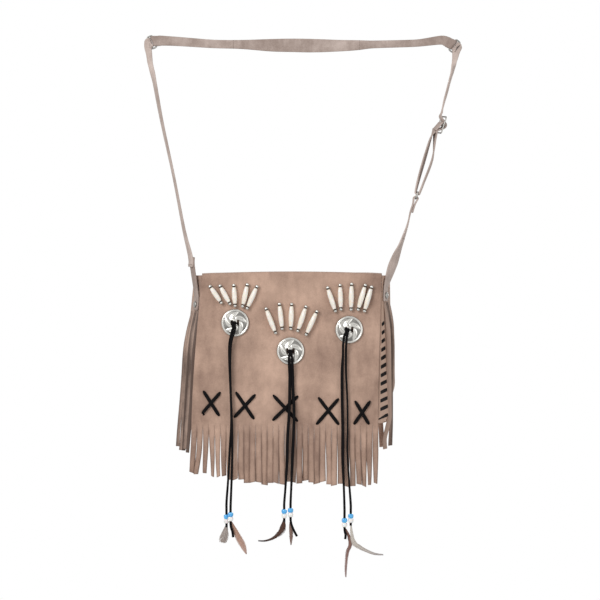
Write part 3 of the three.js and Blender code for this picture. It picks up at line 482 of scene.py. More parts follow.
fringe_suede = suede("fringe_suede", ink(184, 158, 143), ink(104, 87, 79), 26, 620)
for cut in SIDE_FRINGES:
    side, name, strands = cut["side"], cut["name"], len(cut["tones"])
    low = cut["top"] - SIDE_HEADER
    pitch = cut["width"] + SLIT
    full = strands * pitch - SLIT
    middle = cut["nearest"] + full / 2
    header = [on_side(side, z, middle, GAP + SUEDE / 2) for z in (cut["top"], low + 8, low - 1)]
    inward = side_frame(side, low)[1]
    parts = [strip(header, [inward] * 3, [full] * 3, SUEDE)]
    for k in range(strands):
        length = SIDE_LENGTH - SIDE_HEADER + 5 * uneven(k, 5) + cut["longer"]
        twist = cut["turn"] + chance.uniform(-0.25, 0.35)
        path, wides, widths = [], [], []
        for j in range(SIDE_STEPS + 1):
            down = j / SIDE_STEPS
            ease = min(1, down * cut["spring"])
            away = (STRAND_OUT + cut["spread"] * k) * ease * (2 - ease) + uneven(k, 6) * down
            away += cut["wave"] * sin(7 * down + 1.9 * k) * ease * down
            pressed = cut["press"] * clamp((down - 0.3) / 0.5)
            away *= 1 - pressed
            sway = 1.2 * uneven(k, 9) * sin(5 * down + k) * down
            depth = cut["nearest"] + k * pitch + cut["width"] / 2 + sway
            depth += cut["gather"] * k * ease + cut["drift"] * down
            z = low + 1.5 - length * down
            aside, begin, over = cut["swing"][k]
            swing = aside * clamp((down - begin) / over)
            path.append(on_side(side, z, depth, GAP + SUEDE / 2 + away) + Vector((swing, 0, 0)))
            turn = twist * ease * ease * (1 - 0.6 * pressed) + 0.3 * sin(4 * down + 2 * k) * down
            _, inward, out = side_frame(side, z)
            wides.append(inward * cos(turn) + out * sin(turn))
            widths.append(cut["width"] * (1.05 + 0.12 * down))
        parts.append(strip(path, wides, widths, SUEDE))
    fringe = together(f"{name}_fringe", parts, fringe_suede)
    tones = [HEADER_TONE] * len(parts[0][0])
    # painted light and shade: each strand's tone lightens or darkens it as a whole, the left fringe's
    # front strand is painted dark as the shadow line beside the flap, and the gap shade darkens one edge
    # half of every strand
    for tone, (points, _) in zip(cut["tones"], parts[1:]):
        tones += [tone + STRAND_GAP_SHADE * (i % STRIP_SIDES < STRIP_SIDES / 2) for i in range(len(points))]
    shades(fringe, tones)
    fixed(fringe, "bag", "bag_suede", f"{name}_side_fringe")


# Flap: one hide that folds over the mouth from the top of the back panel and hangs down the front.
# Its lower end is slit by hand into a fringe whose strands twist and spread.
FLAP_TOP_WIDTH, FLAP_HEM_WIDTH = FRONT_WIDTH + 2, FRONT_WIDTH + 12
FLAP_LEAN, FLAP_CROWN, FLAP_FOLD = 10, 3, 4
FLAP_FACE = PANEL_FACE - 2.4 - SUEDE
FLAP_LOW = POUCH_TOP + 3 * GAP
SLIT_TOP, STRANDS = -526, 32
FRINGE_LENGTH, FRINGE_GROWTH, FRINGE_SLOPE = 61.5, 16, 4
CONCHOS = {"left": (-79.7, -380.5), "middle": (-2.1, -420), "right": (79.9, -390)}
CROSSES = (
    ((-123.6, -476.7), (-100.8, -478.4), (-125.4, -506.9), (-102.4, -510.1)),
    ((-78.2, -478.3), (-52, -481.7), (-80.4, -512.4), (-53.8, -514.5)),
    ((-25.6, -482.7), (7.7, -483.8), (-26.5, -516.5), (7.2, -517.7)),
    ((37.6, -485.9), (64.6, -487.5), (34.6, -522.2), (65.2, -522.7)),
    ((88.8, -490.9), (109, -490.9), (87, -522.1), (107.4, -522.1)),
)
cross_holes = [Vector(hole) for holes in CROSSES for hole in holes]


def bell(distance, width):
    return exp(-((distance / width) ** 2))


def slack(x, z):
    spot = Vector((x, z))
    pressed = 1.0
    for cx, cz in CONCHOS.values():
        near = min((spot - Vector((cx, cz + rise))).length for rise in (0, 28, 44))
        pressed *= 1 - bell(near, 26)
    dent = sum(bell((spot - hole).length, 4.5) for hole in cross_holes)
    return 1.9 * pressed * billow(1.5 * x, 1.3 * z) + 0.7 * min(dent, 1)


def flap_spot(share, far):
    # far runs from the hinge at 0, over the fold from 1 to 2, to the slits at 3
    bow = FLAP_CROWN * (1 - (2 * share - 1) ** 2)
    top = FLAP_LOW + bow
    x = (share - 0.5) * FLAP_TOP_WIDTH
    fold_y, radius = FLAP_FACE + SUEDE + FLAP_FOLD, FLAP_FOLD + SUEDE
    if far <= 1:
        lift = 1.4 * sin(pi * far) * billow(2 * x, 0)
        return Vector((x, lerp(BACK_OUTER, fold_y, far), lerp(FLAP_LOW, top, far) + SUEDE + lift))
    if far <= 2:
        angle = (far - 1) * pi / 2
        return Vector((x, fold_y - radius * sin(angle), top - FLAP_FOLD + radius * cos(angle)))
    down = far - 2
    z = lerp(top - FLAP_FOLD, SLIT_TOP, down)
    lean = 1 - (1 - down) ** 1.5
    x = (share - 0.5) * lerp(FLAP_TOP_WIDTH, FLAP_HEM_WIDTH, lean) - FLAP_LEAN * lean
    return Vector((x, FLAP_FACE + slack(x, z) * min(1, 5 * down) * min(1, 12 * (1 - down) + 0.25), z))


ACROSS, STRAND_ROWS = 4, 22
FOLD_ROWS, FRONT_ROWS = 7, 64
STRAND_LEANS = {0: -4.4, 1: -3.2, 2: 0.8, 3: 1, 31: -2}
slit_share = 0.015 / FLAP_HEM_WIDTH
shares = []
for k in range(STRANDS):
    first = k / STRANDS + (slit_share if k else 0)
    final = (k + 1) / STRANDS - (slit_share if k < STRANDS - 1 else 0)
    shares += [lerp(first, final, i / ACROSS) for i in range(ACROSS + 1)]
columns = len(shares)
body_rows = [start + k / FOLD_ROWS for start in (0, 1) for k in range(FOLD_ROWS)]
body_rows += [2 + k / FRONT_ROWS for k in range(FRONT_ROWS + 1)]
points = [flap_spot(share, far) for far in body_rows for share in shares]
faces = grid(len(body_rows), columns)
tones = []
# painted light and shade on the flap: a lighter patch at the upper middle and darkening towards its left
# and right edges
for p in points:
    painted_light = 0.2 * bell(p.x + 20, 75) * bell(p.z + 335, 26)
    tones.append(painted_light - 0.1 * (abs(p.x + 6) / 130) ** 6)
hem = len(points) - columns
for k in range(STRANDS):
    share = (k + 0.5) / STRANDS
    grown = 1 - exp(-share / 0.15)
    length = FRINGE_LENGTH + FRINGE_GROWTH * grown + FRINGE_SLOPE * share + 4 * uneven(k, 1)
    loose = max(bell(share - 0.12, 0.1), bell(share - 0.97, 0.09))
    twist = chance.uniform(-1, 1) * (0.25 + 0.75 * loose)
    sway = chance.uniform(-2.4, 2.4) * (0.35 + 0.9 * loose) + STRAND_LEANS.get(k, 0)
    opening = 0.16 if share < 0.5 else 0.5
    curl = 4 * abs(uneven(k, 2)) + 1.1 * (k % 2)
    ripple, phase = chance.uniform(0.2, 1.1), chance.uniform(0, 6)
    tone = chance.uniform(-0.32, 0.08)
    above = [hem + k * (ACROSS + 1) + i for i in range(ACROSS + 1)]
    roots = [points[i].copy() for i in above]
    middle = (roots[0] + roots[-1]) / 2
    narrowing = chance.uniform(-0.2, -0.04) + 0.46 * loose
    opens = (0.16 * abs(uneven(k, 12)), 0.16 * abs(uneven(k + 1, 12)))
    for j in range(1, STRAND_ROWS + 1):
        down = j / STRAND_ROWS
        turn = twist * down ** 1.4
        shift_x = sway * down ** 1.6 + 0.8 * ripple * sin(5 * down + phase) * down
        shift_y = curl * down * down + ripple * (sin(7 * down + phase) - sin(phase)) * down * 0.8
        row = []
        for i, root in enumerate(roots):
            aside = 2 * i / ACROSS - 1
            off = (root.x - middle.x) * (1 - narrowing * max(0, down - opening) / (1 - opening))
            cup = 0.9 * ripple * aside ** 2 * down
            tip = 1.6 * aside * uneven(k, 4) if j == STRAND_ROWS else 0
            x = middle.x + off * cos(turn) + shift_x
            y = root.y + off * sin(turn) + shift_y + cup
            row.append(len(points))
            points.append(Vector((x, y, middle.z - length * down + tip)))
            # painted shade: the sides of each strand darken from where its slit opens, as dark lines
            # between the strands
            slit_shade = -0.42 * abs(aside) ** 3 * clamp(12 * (down - opens[i > 1]))
            tones.append(tone * min(1, 4 * down) + slit_shade)
        faces += [(above[i], above[i + 1], row[i + 1], row[i]) for i in range(ACROSS)]
        above = row
slit_cells = {hem - columns + k * (ACROSS + 1) + ACROSS for k in range(STRANDS - 1)}
faces = [face for face in faces if face[0] not in slit_cells]
flap = piece("flap_suede", points, [face[::-1] for face in faces], bag_suede)
shades(flap, tones)
flap = fixed(thick(flap, SUEDE, -1), "flap", "bag_suede", "flap")


# Cross lacing: a row of crosses in black lace on the flap. Each arm comes out of one slit in the
# suede and goes back in at the other, and the lace runs on behind the flap to the next cross.
BACK, UP = Vector((0, 1, 0)), Vector((0, 0, 1))
CROSS_LACE = 4.8
ARM_SHARES = (-0.02, 0, 0.1, 0.4, 0.5, 0.6, 0.9, 1, 1.02)
ARM_WIDTHS = (2.6, 3, CROSS_LACE, CROSS_LACE, CROSS_LACE * 0.94, CROSS_LACE, CROSS_LACE, 3, 2.6)
LACE_RUN = ((-125, -509), (106, -521))
parts = []
for top_left, top_right, low_left, low_right in CROSSES:
    for layer, arm in enumerate(((top_left, low_right), (low_left, top_right))):
        a, b = [Vector((x, FLAP_FACE, z)) for x, z in arm]
        heights = (2.2, 0.2, -0.75, -0.85, -0.85 - 1.1 * layer, -0.85, -0.75, 0.2, 2.2)
        path = [a.lerp(b, share) + BACK * height for share, height in zip(ARM_SHARES, heights)]
        parts.append(strip(path, [(b - a).cross(BACK)] * len(path), ARM_WIDTHS, LACE_THICK))
ends = [Vector((x, FLAP_FACE - LACE_UNDER, z)) for x, z in LACE_RUN]
parts.append(strip(ends, [UP] * 2, [LACE_WIDTH] * 2, LACE_THICK, 12))
fixed(together("cross_laces", parts, lace_leather), "flap", "black_lace", "cross_lacing")


# Conchos: stamped nickel-silver discs with a domed middle, a ring of leaves, a raised rim and two
# slots for the lace. Their hollows are dark with age and polish wears the high parts bright.
aged_metal, given, put = effect(
    "aged_metal",
    {"Bright": "Color", "Dark": "Color"},
    {"Color": "Color", "Roughness": "Float", "Height": "Float"},
)
cloud = noise(aged_metal, 260, 5, Roughness=0.65)
# 'recess' darkens and roughens the metal: in the conchos' hollows it is patina, on the rings, rivets and
# slide an even tarnish, and on the hairpipe balls next to the bone it is painted shade
patina_and_shade = maths(aged_metal, "MULTIPLY_ADD", cloud, 0.35, own_value(aged_metal, "recess"))
patina_and_shade.node.use_clamp = True
send(
    aged_metal,
    put,
    Color=mixed(aged_metal, patina_and_shade, given["Bright"], given["Dark"]),
    Roughness=ranged(aged_metal, patina_and_shade, 0.16, 0.55),
    Height=maths(aged_metal, "MULTIPLY", noise(aged_metal, 1900, 2), 0.4),
)
looks = {"Bright": ink(214, 212, 206), "Dark": ink(44, 41, 38)}
nickel_silver = dressed("nickel_silver", aged_metal, looks, 0.12, 0.0002, Metallic=1.0)
CONCHO_RADIUS, CONCHO_HEIGHT, CONCHO_PLATE = 18.8, 4.6, 0.7
CONCHO_PROFILE = ((0, 5), (5, 4.5), (12, 3.1), (16, 2.0), (17.2, 1.5), (18, 1.9), (18.8, 0.9))
LEAVES = 5
SLOT, SLOT_X = (3.2, 7.5), 4.2
RINGS, SPOKES = 64, 192
TRIM_BACK = FLAP_FACE - GAP
CONCHO_FRONT = TRIM_BACK - CONCHO_HEIGHT


def dome(r):
    for (r0, h0), (r1, h1) in zip(CONCHO_PROFILE, CONCHO_PROFILE[1:]):
        if r <= r1:
            return lerp(h0, h1, (r - r0) / (r1 - r0))
    return CONCHO_PROFILE[-1][1]


def stamped(r, angle):
    # curled leaves that lean round the dome, a plain middle and a plain raised rim
    share = (r - 5.4) / 10.8
    if not 0 < share < 1:
        return 0.5
    turn = (angle + 1.25 * share) * LEAVES / (2 * pi)
    off = (turn - round(turn)) * 2 * pi / LEAVES * r
    half = 5.2 * sin(pi * share ** 0.85) ** 0.8
    if abs(off) >= half:
        return 0.0
    leaf = (1 - (off / half) ** 2) ** 0.5
    return 0.75 * leaf - 0.5 * bell(off, 0.45) * sin(pi * share)


for where, (cx, cz) in CONCHOS.items():
    points, recess = [], []
    for i in range(RINGS + 1):
        r = max(CONCHO_RADIUS * i / RINGS, 0.02)
        for k in range(SPOKES):
            angle = 2 * pi * k / SPOKES
            height = dome(r) + stamped(r, angle) - 0.5
            points.append((cx + r * cos(angle), TRIM_BACK - max(height, 0.3), cz + r * sin(angle)))
            recess.append(0.55 * max(0, 1 - stamped(r, angle) / 0.35))
    faces = []
    for face in sleeve(RINGS + 1, SPOKES):
        middle = sum((Vector(points[v]) for v in face), Vector()) / 4
        x, z = abs(middle.x - cx) - SLOT_X, middle.z - cz
        if abs(x) > SLOT[0] / 2 or abs(z) > SLOT[1] / 2:
            faces.append(face)
    disc = piece(f"{where}_concho_disc", points, faces, nickel_silver)
    shades(disc, recess, "recess")
    fixed(thick(disc, CONCHO_PLATE, -1), "flap", "nickel_silver", f"{where}_concho")


# Lace knots: the lace comes through both slots of a concho and is tied under its middle in a
# tight overhand knot that lets two ends hang.
KNOT_DROP, LACE_DROP = 3, 9.4
KNOT_ASIDE = {"left": -1.5, "middle": 0, "right": -3}
KNOT_Y, KNOT_STEPS = CONCHO_FRONT - GAP - 3.6, 36
LACE_FRONT = -26.6
LACE_STARTS = {"left": (-3.3, 0.3), "middle": (-2.2, 2.2), "right": (-7.3, -3.1)}
OVER, INSIDE = CONCHO_FRONT - 0.7, TRIM_BACK - 0.6
BRIDGE = (
    (-SLOT_X, INSIDE), (-SLOT_X, OVER + 1), (-3, OVER), (0, OVER - 0.5), (3, OVER), (SLOT_X, OVER + 1),
    (SLOT_X, INSIDE),
)
for where, (cx, cz) in CONCHOS.items():
    path = [Vector((cx + x, y, cz - 0.6)) for x, y in BRIDGE]
    parts = [strip(path, [UP] * len(path), [2.2] * len(path), LACE_THICK)]
    middle = Vector((cx + KNOT_ASIDE[where], KNOT_Y, cz - KNOT_DROP + 1.2))
    loop = []
    for k in range(KNOT_STEPS + 1):
        t = 2 * pi * k / KNOT_STEPS
        x, z = sin(t) + 2 * sin(2 * t), cos(t) - 2 * cos(2 * t)
        loop.append(middle + Vector((0.82 * x, sin(3 * t), 1.4 * z)))
    wides = [(loop[(k + 1) % KNOT_STEPS] - loop[k - 1]).cross(BACK) for k in range(KNOT_STEPS)]
    parts.append(strip(loop, [*wides, wides[0]], [3] * len(loop), 2.2, 2))
    for x in LACE_STARTS[where]:
        path = [(0.3 * x, KNOT_Y + 1.4, -1), (0.7 * x, KNOT_Y - 0.4, -4.5), (x, LACE_FRONT, -LACE_DROP)]
        path = [Vector((cx, 0, cz)) + Vector(p) for p in path]
        parts.append(strip(path, [(1, 0, 0)] * 3, [3, 3.3, 3.4], 2))
    fixed(together(f"{where}_tied_lace", parts, lace_leather), "flap", "black_lace", f"{where}_lace_knot")


# Hairpipes: tapered tubes of polished bone in a fan over each concho, each strung on a black
# thread between two small silver balls and sewn to the flap.
glow = {"Subsurface_Weight": 0.12, "Subsurface_Scale": 0.002, "Subsurface_Radius": (1, 0.7, 0.45)}
bone, tree, shader = surface("bone", Coat_Weight=0.15, **glow)
growth = noise(tree, 1100, 4, stretched(tree, (1, 1, 0.08)), Roughness=0.6)
vein = ranged(tree, growth, 0, 1, 0.42, 0.62)
age = ranged(tree, noise(tree, 170, 3), 0, 0.7, 0.52, 0.75)
ivory = mixed(tree, vein, ink(242, 232, 218), ink(255, 252, 247))
ivory = mixed(tree, age, ivory, ink(238, 224, 202))
# painted shade: the bone turns darker and browner where 'recess' is set, at its ends next to the balls
ivory = mixed(tree, own_value(tree, "recess"), ivory, ink(170, 146, 118))
gloss, raised = ranged(tree, growth, 0.22, 0.5), bumped(tree, growth, 0.15, 0.0003)
send(tree, shader, Base_Color=ivory, Roughness=gloss, Normal=raised)


def turned(profile, sides):
    turns = [2 * pi * k / sides for k in range(sides)]
    points = [(r * cos(a), r * sin(a), z) for r, z in profile for a in turns]
    return points, sleeve(len(profile), sides)


BALL_RADIUS, BALL_SET, BALL_STEPS, BALL_SIDES = 2.7, 0.2, 12, 24
BONE_RADIUS, BONE_END, BONE_STEPS, BONE_SIDES = 3.6, 2.3, 24, 28
ball_turns = [pi * i / BALL_STEPS for i in range(BALL_STEPS + 1)]
ball = [(max(BALL_RADIUS * sin(a), 0.05), -BALL_RADIUS * cos(a)) for a in ball_turns]
FANS = {
    "left": (
        (-114.2, -329.9, -99.4, -352.0), (-100.5, -329.3, -87.1, -353.4), (-81.4, -328.4, -79.6, -356.1),
        (-62.6, -327.5, -68.9, -356.8), (-49.2, -330.2, -62.4, -359.7),
    ),
    "middle": (
        (-36.2, -361.1, -23.2, -394.1), (-17.6, -354.7, -13.9, -388.3), (-0.5, -354.9, -1.7, -388.4),
        (19.3, -358.3, 8.3, -391.3), (34.5, -365.0, 20.1, -396.5),
    ),
    "right": (
        (49.9, -331.8, 60.4, -363.6), (67.2, -328.3, 68.4, -361.1), (83.3, -326.8, 82.6, -361.3),
        (102.2, -328.4, 92.6, -361.5), (111.1, -330.8, 101.5, -363.6),
    ),
}
for where, fan in FANS.items():
    for k, (top_x, top_z, low_x, low_z) in enumerate(fan):
        top, low = Vector((top_x, 0, top_z)), Vector((low_x, 0, low_z))
        reach = (top - low).length / 2
        end = reach - BALL_RADIUS * 0.75
        tube = [(0.8, -end), (1.5, -end)]
        for i in range(BONE_STEPS + 1):
            share = 2 * i / BONE_STEPS - 1
            swell = BONE_END + (BONE_RADIUS - BONE_END) * (1 - abs(share) ** 2.2)
            tube.append((swell - (0.25 if abs(share) == 1 else 0), share * end))
        tube += [(1.5, end), (0.8, end)]
        parts = [turned(tube, BONE_SIDES), turned([(0.75, -reach), (0.75, reach)], 10)]
        for side in (-1, 1):
            parts.append(turned([(r, side * (reach + BALL_SET) + z) for r, z in ball], BALL_SIDES))
        name = f"{where}_hairpipe_{k + 1}"
        pipe = together(f"{name}_strung", parts, [bone, lace_leather, nickel_silver], [0, 1, 2, 2])
        # painted shade at the joints: the bone's ends and the half of each ball that faces the bone are
        # darkened through 'recess'
        dark = [0.8 * max(0, (abs(z) / end - 0.9) / 0.1) ** 2 for _, _, z in parts[0][0]]
        dark += [0.0] * len(parts[1][0])
        for _, _, z in parts[2][0] + parts[3][0]:
            inner = reach + BALL_SET - abs(z)
            dark.append(clamp((inner / BALL_RADIUS - 0.1) / 0.3))
        shades(pipe, dark, "recess")
        spot = (top + low) / 2
        spot.y = TRIM_BACK - BONE_RADIUS
        pipe.rotation_mode = "QUATERNION"
        pipe.rotation_quaternion = (top - low).to_track_quat("Z", "Y")
        pipe.location = spot * MM
        fixed(pipe, "flap", "bone", name)


# Pony beads: on each hanging lace a sky-blue glass bead sits on a white one, both barrel-shaped
# with a wide hole that the lace runs through. The laces' routes give their places.
LACE_ROUTES = {
    "left_lace_a": (
        (-83, -26.6, -389.6), (-86, -25.4, -402), (-87.7, -22, -415), (-87.5, -21.6, -440),
        (-85.8, -21.6, -480), (-85, -21.6, -520), (-87.2, -21.6, -560), (-89.3, -21.2, -600),
        (-91.6, -17.2, -630), (-91.8, -15.6, -642), (-91.8, -15.6, -652), (-91.8, -15.6, -660),
        (-91.6, -15.6, -667),
    ),
    "left_lace_b": (
        (-79.4, -26.6, -389.8), (-83.4, -26.4, -402), (-85.7, -24.6, -415), (-86.5, -24.2, -440),
        (-85.5, -24.2, -480), (-84, -24, -520), (-83.4, -23.4, -560), (-84.4, -23.6, -600),
        (-85.6, -24.6, -632), (-85.8, -24.8, -642), (-85.8, -24.8, -650), (-85.8, -24.8, -658),
        (-85.4, -25, -665), (-83.2, -25.2, -672), (-82.2, -25, -680),
    ),
    "middle_lace_a": (
        (-4.3, -26.6, -429.5), (-3.6, -25.4, -442), (-3, -22, -455), (-3.2, -21.6, -475),
        (-3.9, -21.6, -505), (-6.1, -21.6, -540), (-7, -21.6, -575), (-9.1, -21.6, -610),
        (-10.8, -21.6, -632), (-10.9, -21.6, -640), (-10.9, -21.6, -648), (-10.9, -21.6, -654),
        (-10.7, -21.6, -659),
    ),
    "middle_lace_b": (
        (0.1, -26.6, -429.5), (0.5, -25.4, -442), (0.9, -22, -455), (1.5, -21.6, -475),
        (2.9, -21.6, -505), (2, -21.6, -540), (0.4, -21.6, -575), (-1, -21.6, -610), (-1.9, -21.6, -630),
        (-2, -21.6, -638), (-2, -21.6, -646), (-2, -21.6, -653), (-1.2, -21.8, -661), (2.2, -22, -670),
        (7, -22, -679),
    ),
    "right_lace_a": (
        (72.6, -26.6, -399.4), (71.4, -25.4, -412), (71.3, -22, -425), (70.1, -21.6, -450),
        (70.2, -21.6, -490), (71, -21.6, -530), (70.9, -21.6, -570), (72.5, -21.6, -610),
        (73.4, -21.6, -640), (73.4, -21.6, -650), (73.4, -21.6, -658), (73.4, -21.6, -666),
        (73.8, -21.8, -672), (75, -22, -677), (74.4, -22, -683),
    ),
    "right_lace_b": (
        (76.8, -26.6, -399.4), (75.6, -25.4, -412), (75.4, -22, -425), (75.6, -21.6, -450),
        (77.4, -21.6, -490), (77.8, -21.6, -530), (77.4, -21.6, -560), (79.7, -21.6, -600),
        (82, -21.6, -632), (82.2, -21.6, -642), (82.2, -21.6, -650), (82.2, -21.6, -658),
        (82.2, -21.6, -664),
    ),
}
BEAD_TOPS = {
    "left_lace_a": -649, "left_lace_b": -645, "middle_lace_a": -641,
    "middle_lace_b": -639.5, "right_lace_a": -653.5, "right_lace_b": -647.5,
}
BEAD_HEIGHT, BEAD_SIDES = 6.2, 40
BEAD_SHAPE = (
    (2, 0.7), (2.2, 0.15), (2.7, 0), (3.3, 0.45), (3.8, 1.5), (4, 3.1), (3.8, 4.7), (3.3, 5.75),
    (2.7, 6.2), (2.2, 6.05), (2, 5.5), (2, 0.7),
)


def glass(name, clear, cloudy):
    finish, tree, shader = surface(
        name, Roughness=0.12, Coat_Weight=0.6, Subsurface_Weight=0.2, Subsurface_Scale=0.002
    )
    swirl = noise(tree, 340, 3, Distortion=1.5)
    send(tree, shader, Base_Color=mixed(tree, swirl, clear, cloudy))
    return finish


blue_glass = glass("blue_glass", ink(34, 150, 228), ink(104, 204, 250))
white_glass = glass("white_glass", ink(236, 232, 226), ink(252, 250, 248))
bead_spots, beads = {}, {}
for lace, top in BEAD_TOPS.items():
    x, y, _ = next(p for p in LACE_ROUTES[lace] if p[2] < top)
    bead_spots[lace] = Vector((x, y, top - 2 * BEAD_HEIGHT))
    parts = []
    for low in (top - BEAD_HEIGHT + 0.02, top - 2 * BEAD_HEIGHT - 0.02):
        points, faces = turned(BEAD_SHAPE, BEAD_SIDES)
        parts.append(([(x + px, y + py, low + pz) for px, py, pz in points], faces))
    pair = together(f"{lace}_bead_pair", parts, [blue_glass, white_glass], [0, 1])
    beads[lace] = fixed(pair, "flap", "pony_beads", f"{lace}_beads")


# Feathers: natural plumes hung quill up from the beads. Each has a pale shaft and two vanes of
# fine barbs, which split here and there and fray at the ends.
barb_tone, given, put = effect(
    "barb_tone", {"Light": "Color", "Dark": "Color", "Tip": "Color"}, {"Color": "Color", "Height": "Float"}
)
fine = noise(barb_tone, 700, 3, Roughness=0.7)
tone = maths(barb_tone, "ADD", fine, own_value(barb_tone, "shade"))
tone.node.use_clamp = True
vane = mixed(barb_tone, tone, given["Dark"], given["Light"])
vane = mixed(barb_tone, own_value(barb_tone, "along"), vane, given["Tip"])
send(barb_tone, put, Color=vane, Height=fine)
PLUME = {"Roughness": 0.62, "Sheen_Weight": 0.25, "Specular_IOR_Level": 0.3}
BARB_PITCH = 0.34
BARB_WIDTH = BARB_PITCH * 0.8
BARB_SHARES = (0, 0.35, 0.7, 1)
BARB_FACES = [(0, 2, 3, 1), (2, 4, 5, 3), (4, 6, 7, 5)]
FEATHERS = {
    "grey_feather": (
        "left_lace_a", 3.4,
        ((0, 0, 1.2), (-0.6, -5, 7), (-1.6, -11, 12), (-3, -17, 11.6), (-4.2, -22, 7.6), (-5, -26.5, 2)),
        ((190, 180, 173), (128, 115, 108), (146, 132, 124)),
    ),
    "brown_feather": (
        "left_lace_b", 3.4,
        ((1, 0, 1.2), (4, -8, 6), (10, -21, 9.4), (17, -34, 7), (22, -46, 1)),
        ((196, 158, 138), (128, 92, 72), (190, 160, 150)),
    ),
    "dark_feather": (
        "middle_lace_a", 3.4,
        (
            (-0.4, 0, 1.2), (-1, -8, 8.4), (-3.6, -17, 7.8), (-10, -24.4, 4.8), (-18, -29.4, 3.2),
            (-27, -32, 2.4), (-36, -32, 1.6),
        ),
        ((92, 56, 38), (40, 22, 16), (14, 12, 14)),
    ),
    "narrow_feather": (
        "middle_lace_b", 3.4,
        ((0, 0, 1.2), (0.4, -10, 5.2), (0.8, -25, 5), (0.6, -39, 1.2)),
        ((160, 130, 118), (92, 70, 62), (112, 88, 80)),
    ),
    "pale_feather": (
        "right_lace_b", 3.4,
        ((0, 0, 1.4), (3, -24, 6.8), (12, -34, 5.4), (31, -43, 3.4), (45, -45, 1.6)),
        ((214, 206, 196), (166, 156, 146), (150, 142, 146)),
    ),
    "long_quill": (
        "right_lace_a", 4.6,
        ((0.4, 0, 1.6), (6, -13, 4.8), (8, -24, 5.4), (4, -37, 4.6), (2, -57, 3.4), (2, -70, 1.6)),
        ((140, 98, 84), (78, 48, 40), (178, 158, 156)),
    ),
}
for name, (lace, behind, spine, tints) in FEATHERS.items():
    root = bead_spots[lace] + Vector((0, behind - 1, -GAP))
    line = rounded([Vector((x, 0, z)) for x, z, _ in spine], 24)
    halves = rounded([width / 2 for _, _, width in spine], 24)
    shaft = [root + p for p in line[::4]]
    quills = [lerp(1.2, 0.35, k / len(shaft)) for k in range(len(shaft))]
    parts = [strip(shaft, [(1, 0, 0)] * len(shaft), quills, 0.6, 2)]
    tones, farness = [0.35] * len(parts[0][0]), [0.0] * len(parts[0][0])
    length = sum((b - a).length for a, b in zip(line, line[1:]))
    rows = int(length / BARB_PITCH)
    for side in (-1, 1):
        split = 0.0
        for row in range(int(rows * 0.05), rows):
            spot = row / rows * (len(line) - 1)
            k = min(int(spot), len(line) - 2)
            middle = line[k].lerp(line[k + 1], spot - k)
            half = lerp(halves[k], halves[k + 1], spot - k)
            along = (line[k + 1] - line[k]).normalized()
            out = Vector((-along.z, 0, along.x)) * side
            if chance.random() < 0.035:
                split = chance.uniform(-0.5, 0.5)
            split *= 0.86
            slant = 0.62 + 0.25 * split
            reach = half * chance.uniform(0.9, 1.06) / cos(slant + 0.3)
            tone = chance.uniform(-0.28, 0.24)
            points = []
            for share in BARB_SHARES:
                bend = slant + 0.3 * share
                p = middle + (out * cos(bend) + along * sin(bend)) * reach * share
                p += Vector((0, 0.9 * share * share + 0.25 * split * share, 0))
                spread = along * BARB_WIDTH * (1 - 0.3 * share)
                points += [root + p - spread, root + p + spread]
            tones += [tone] * len(points)
            farness += [(row / rows) ** 2 * 0.9] * len(points)
            parts.append((points, BARB_FACES))
    looks = {label: ink(*tint) for label, tint in zip(("Light", "Dark", "Tip"), tints)}
    plume = dressed(name.split("_")[0] + "_plume", barb_tone, looks, 0.3, 0.0003, **PLUME)
    feather = together(name + "_vanes", parts, plume)
    shades(feather, tones)
    shades(feather, farness, "along")
    fixed(feather, "flap", "feather", name)


# Hanging laces: two soft ends of flat black leather lace from each knot, down over the flap and
# past its fringe, through the beads, with cut ends.
CORD_WIDTH, CORD_THICK = 3.4, 2
ON_FLAP_LOW, ON_FLAP_HIGH = -605, -430
FLAP_WIDTHS = {
    "left_lace_a": 3.2, "left_lace_b": 3.4, "middle_lace_a": 4.3, "middle_lace_b": 4.3,
    "right_lace_a": 4.4, "right_lace_b": 3,
}
for lace, route in LACE_ROUTES.items():
    route = [Vector(p) for p in route]
    widths = [FLAP_WIDTHS[lace] if ON_FLAP_LOW < p.z < ON_FLAP_HIGH else CORD_WIDTH for p in route]
    turns = [0.35 * uneven(k, 3) for k in range(len(route))]
    wides = [Vector((cos(turn), sin(turn), 0)) for turn in turns]
    end = together(lace + "_end", [strip(route, wides, widths, CORD_THICK, 6)], lace_leather)
    fixed(end, "flap", "black_lace", lace)
    line = [p * MM for p in rounded(route, 6)]
    length = sum((b - a).length for a, b in zip(line, line[1:]))


# Shoulder strap and rings: a band of suede that widens into a pad, folded round a silver ring of
# bent wire at each end. Rows of brown thread show at its seams.
STRAP_WIDTH, STRAP_THICK = 14, 2.2
RING_WIRE, RUBBED = 2.2, 0.4
RING_INSIDE, LOWER_RING_INSIDE = (15.6, 6), (15, 7.4)
FOLDED, FOLD_STUB, RING_STUB = 14.4, 20, 8
SEAM_STITCHES, WIRE_SIDES, RIVET_SIDES = 6, 14, 40
TURN_RADIUS = RING_WIRE * 0.71 + GAP + STRAP_THICK / 2
HALF_TURN = [radians(30 * k) for k in range(7)]
SHOULDER_PAINTED_SHADE = -0.3
strap_suede = suede("strap_suede", ink(220, 203, 194), ink(158, 140, 131), 24, 640)
thread, tree, shader = surface("seam_thread", Roughness=0.8)
ply = noise(tree, 2600, 2)
send(tree, shader, Base_Color=mixed(tree, ply, ink(98, 82, 74), ink(150, 132, 120)))


def bar_offset(opening):
    return opening / 2 + RING_WIRE / 2


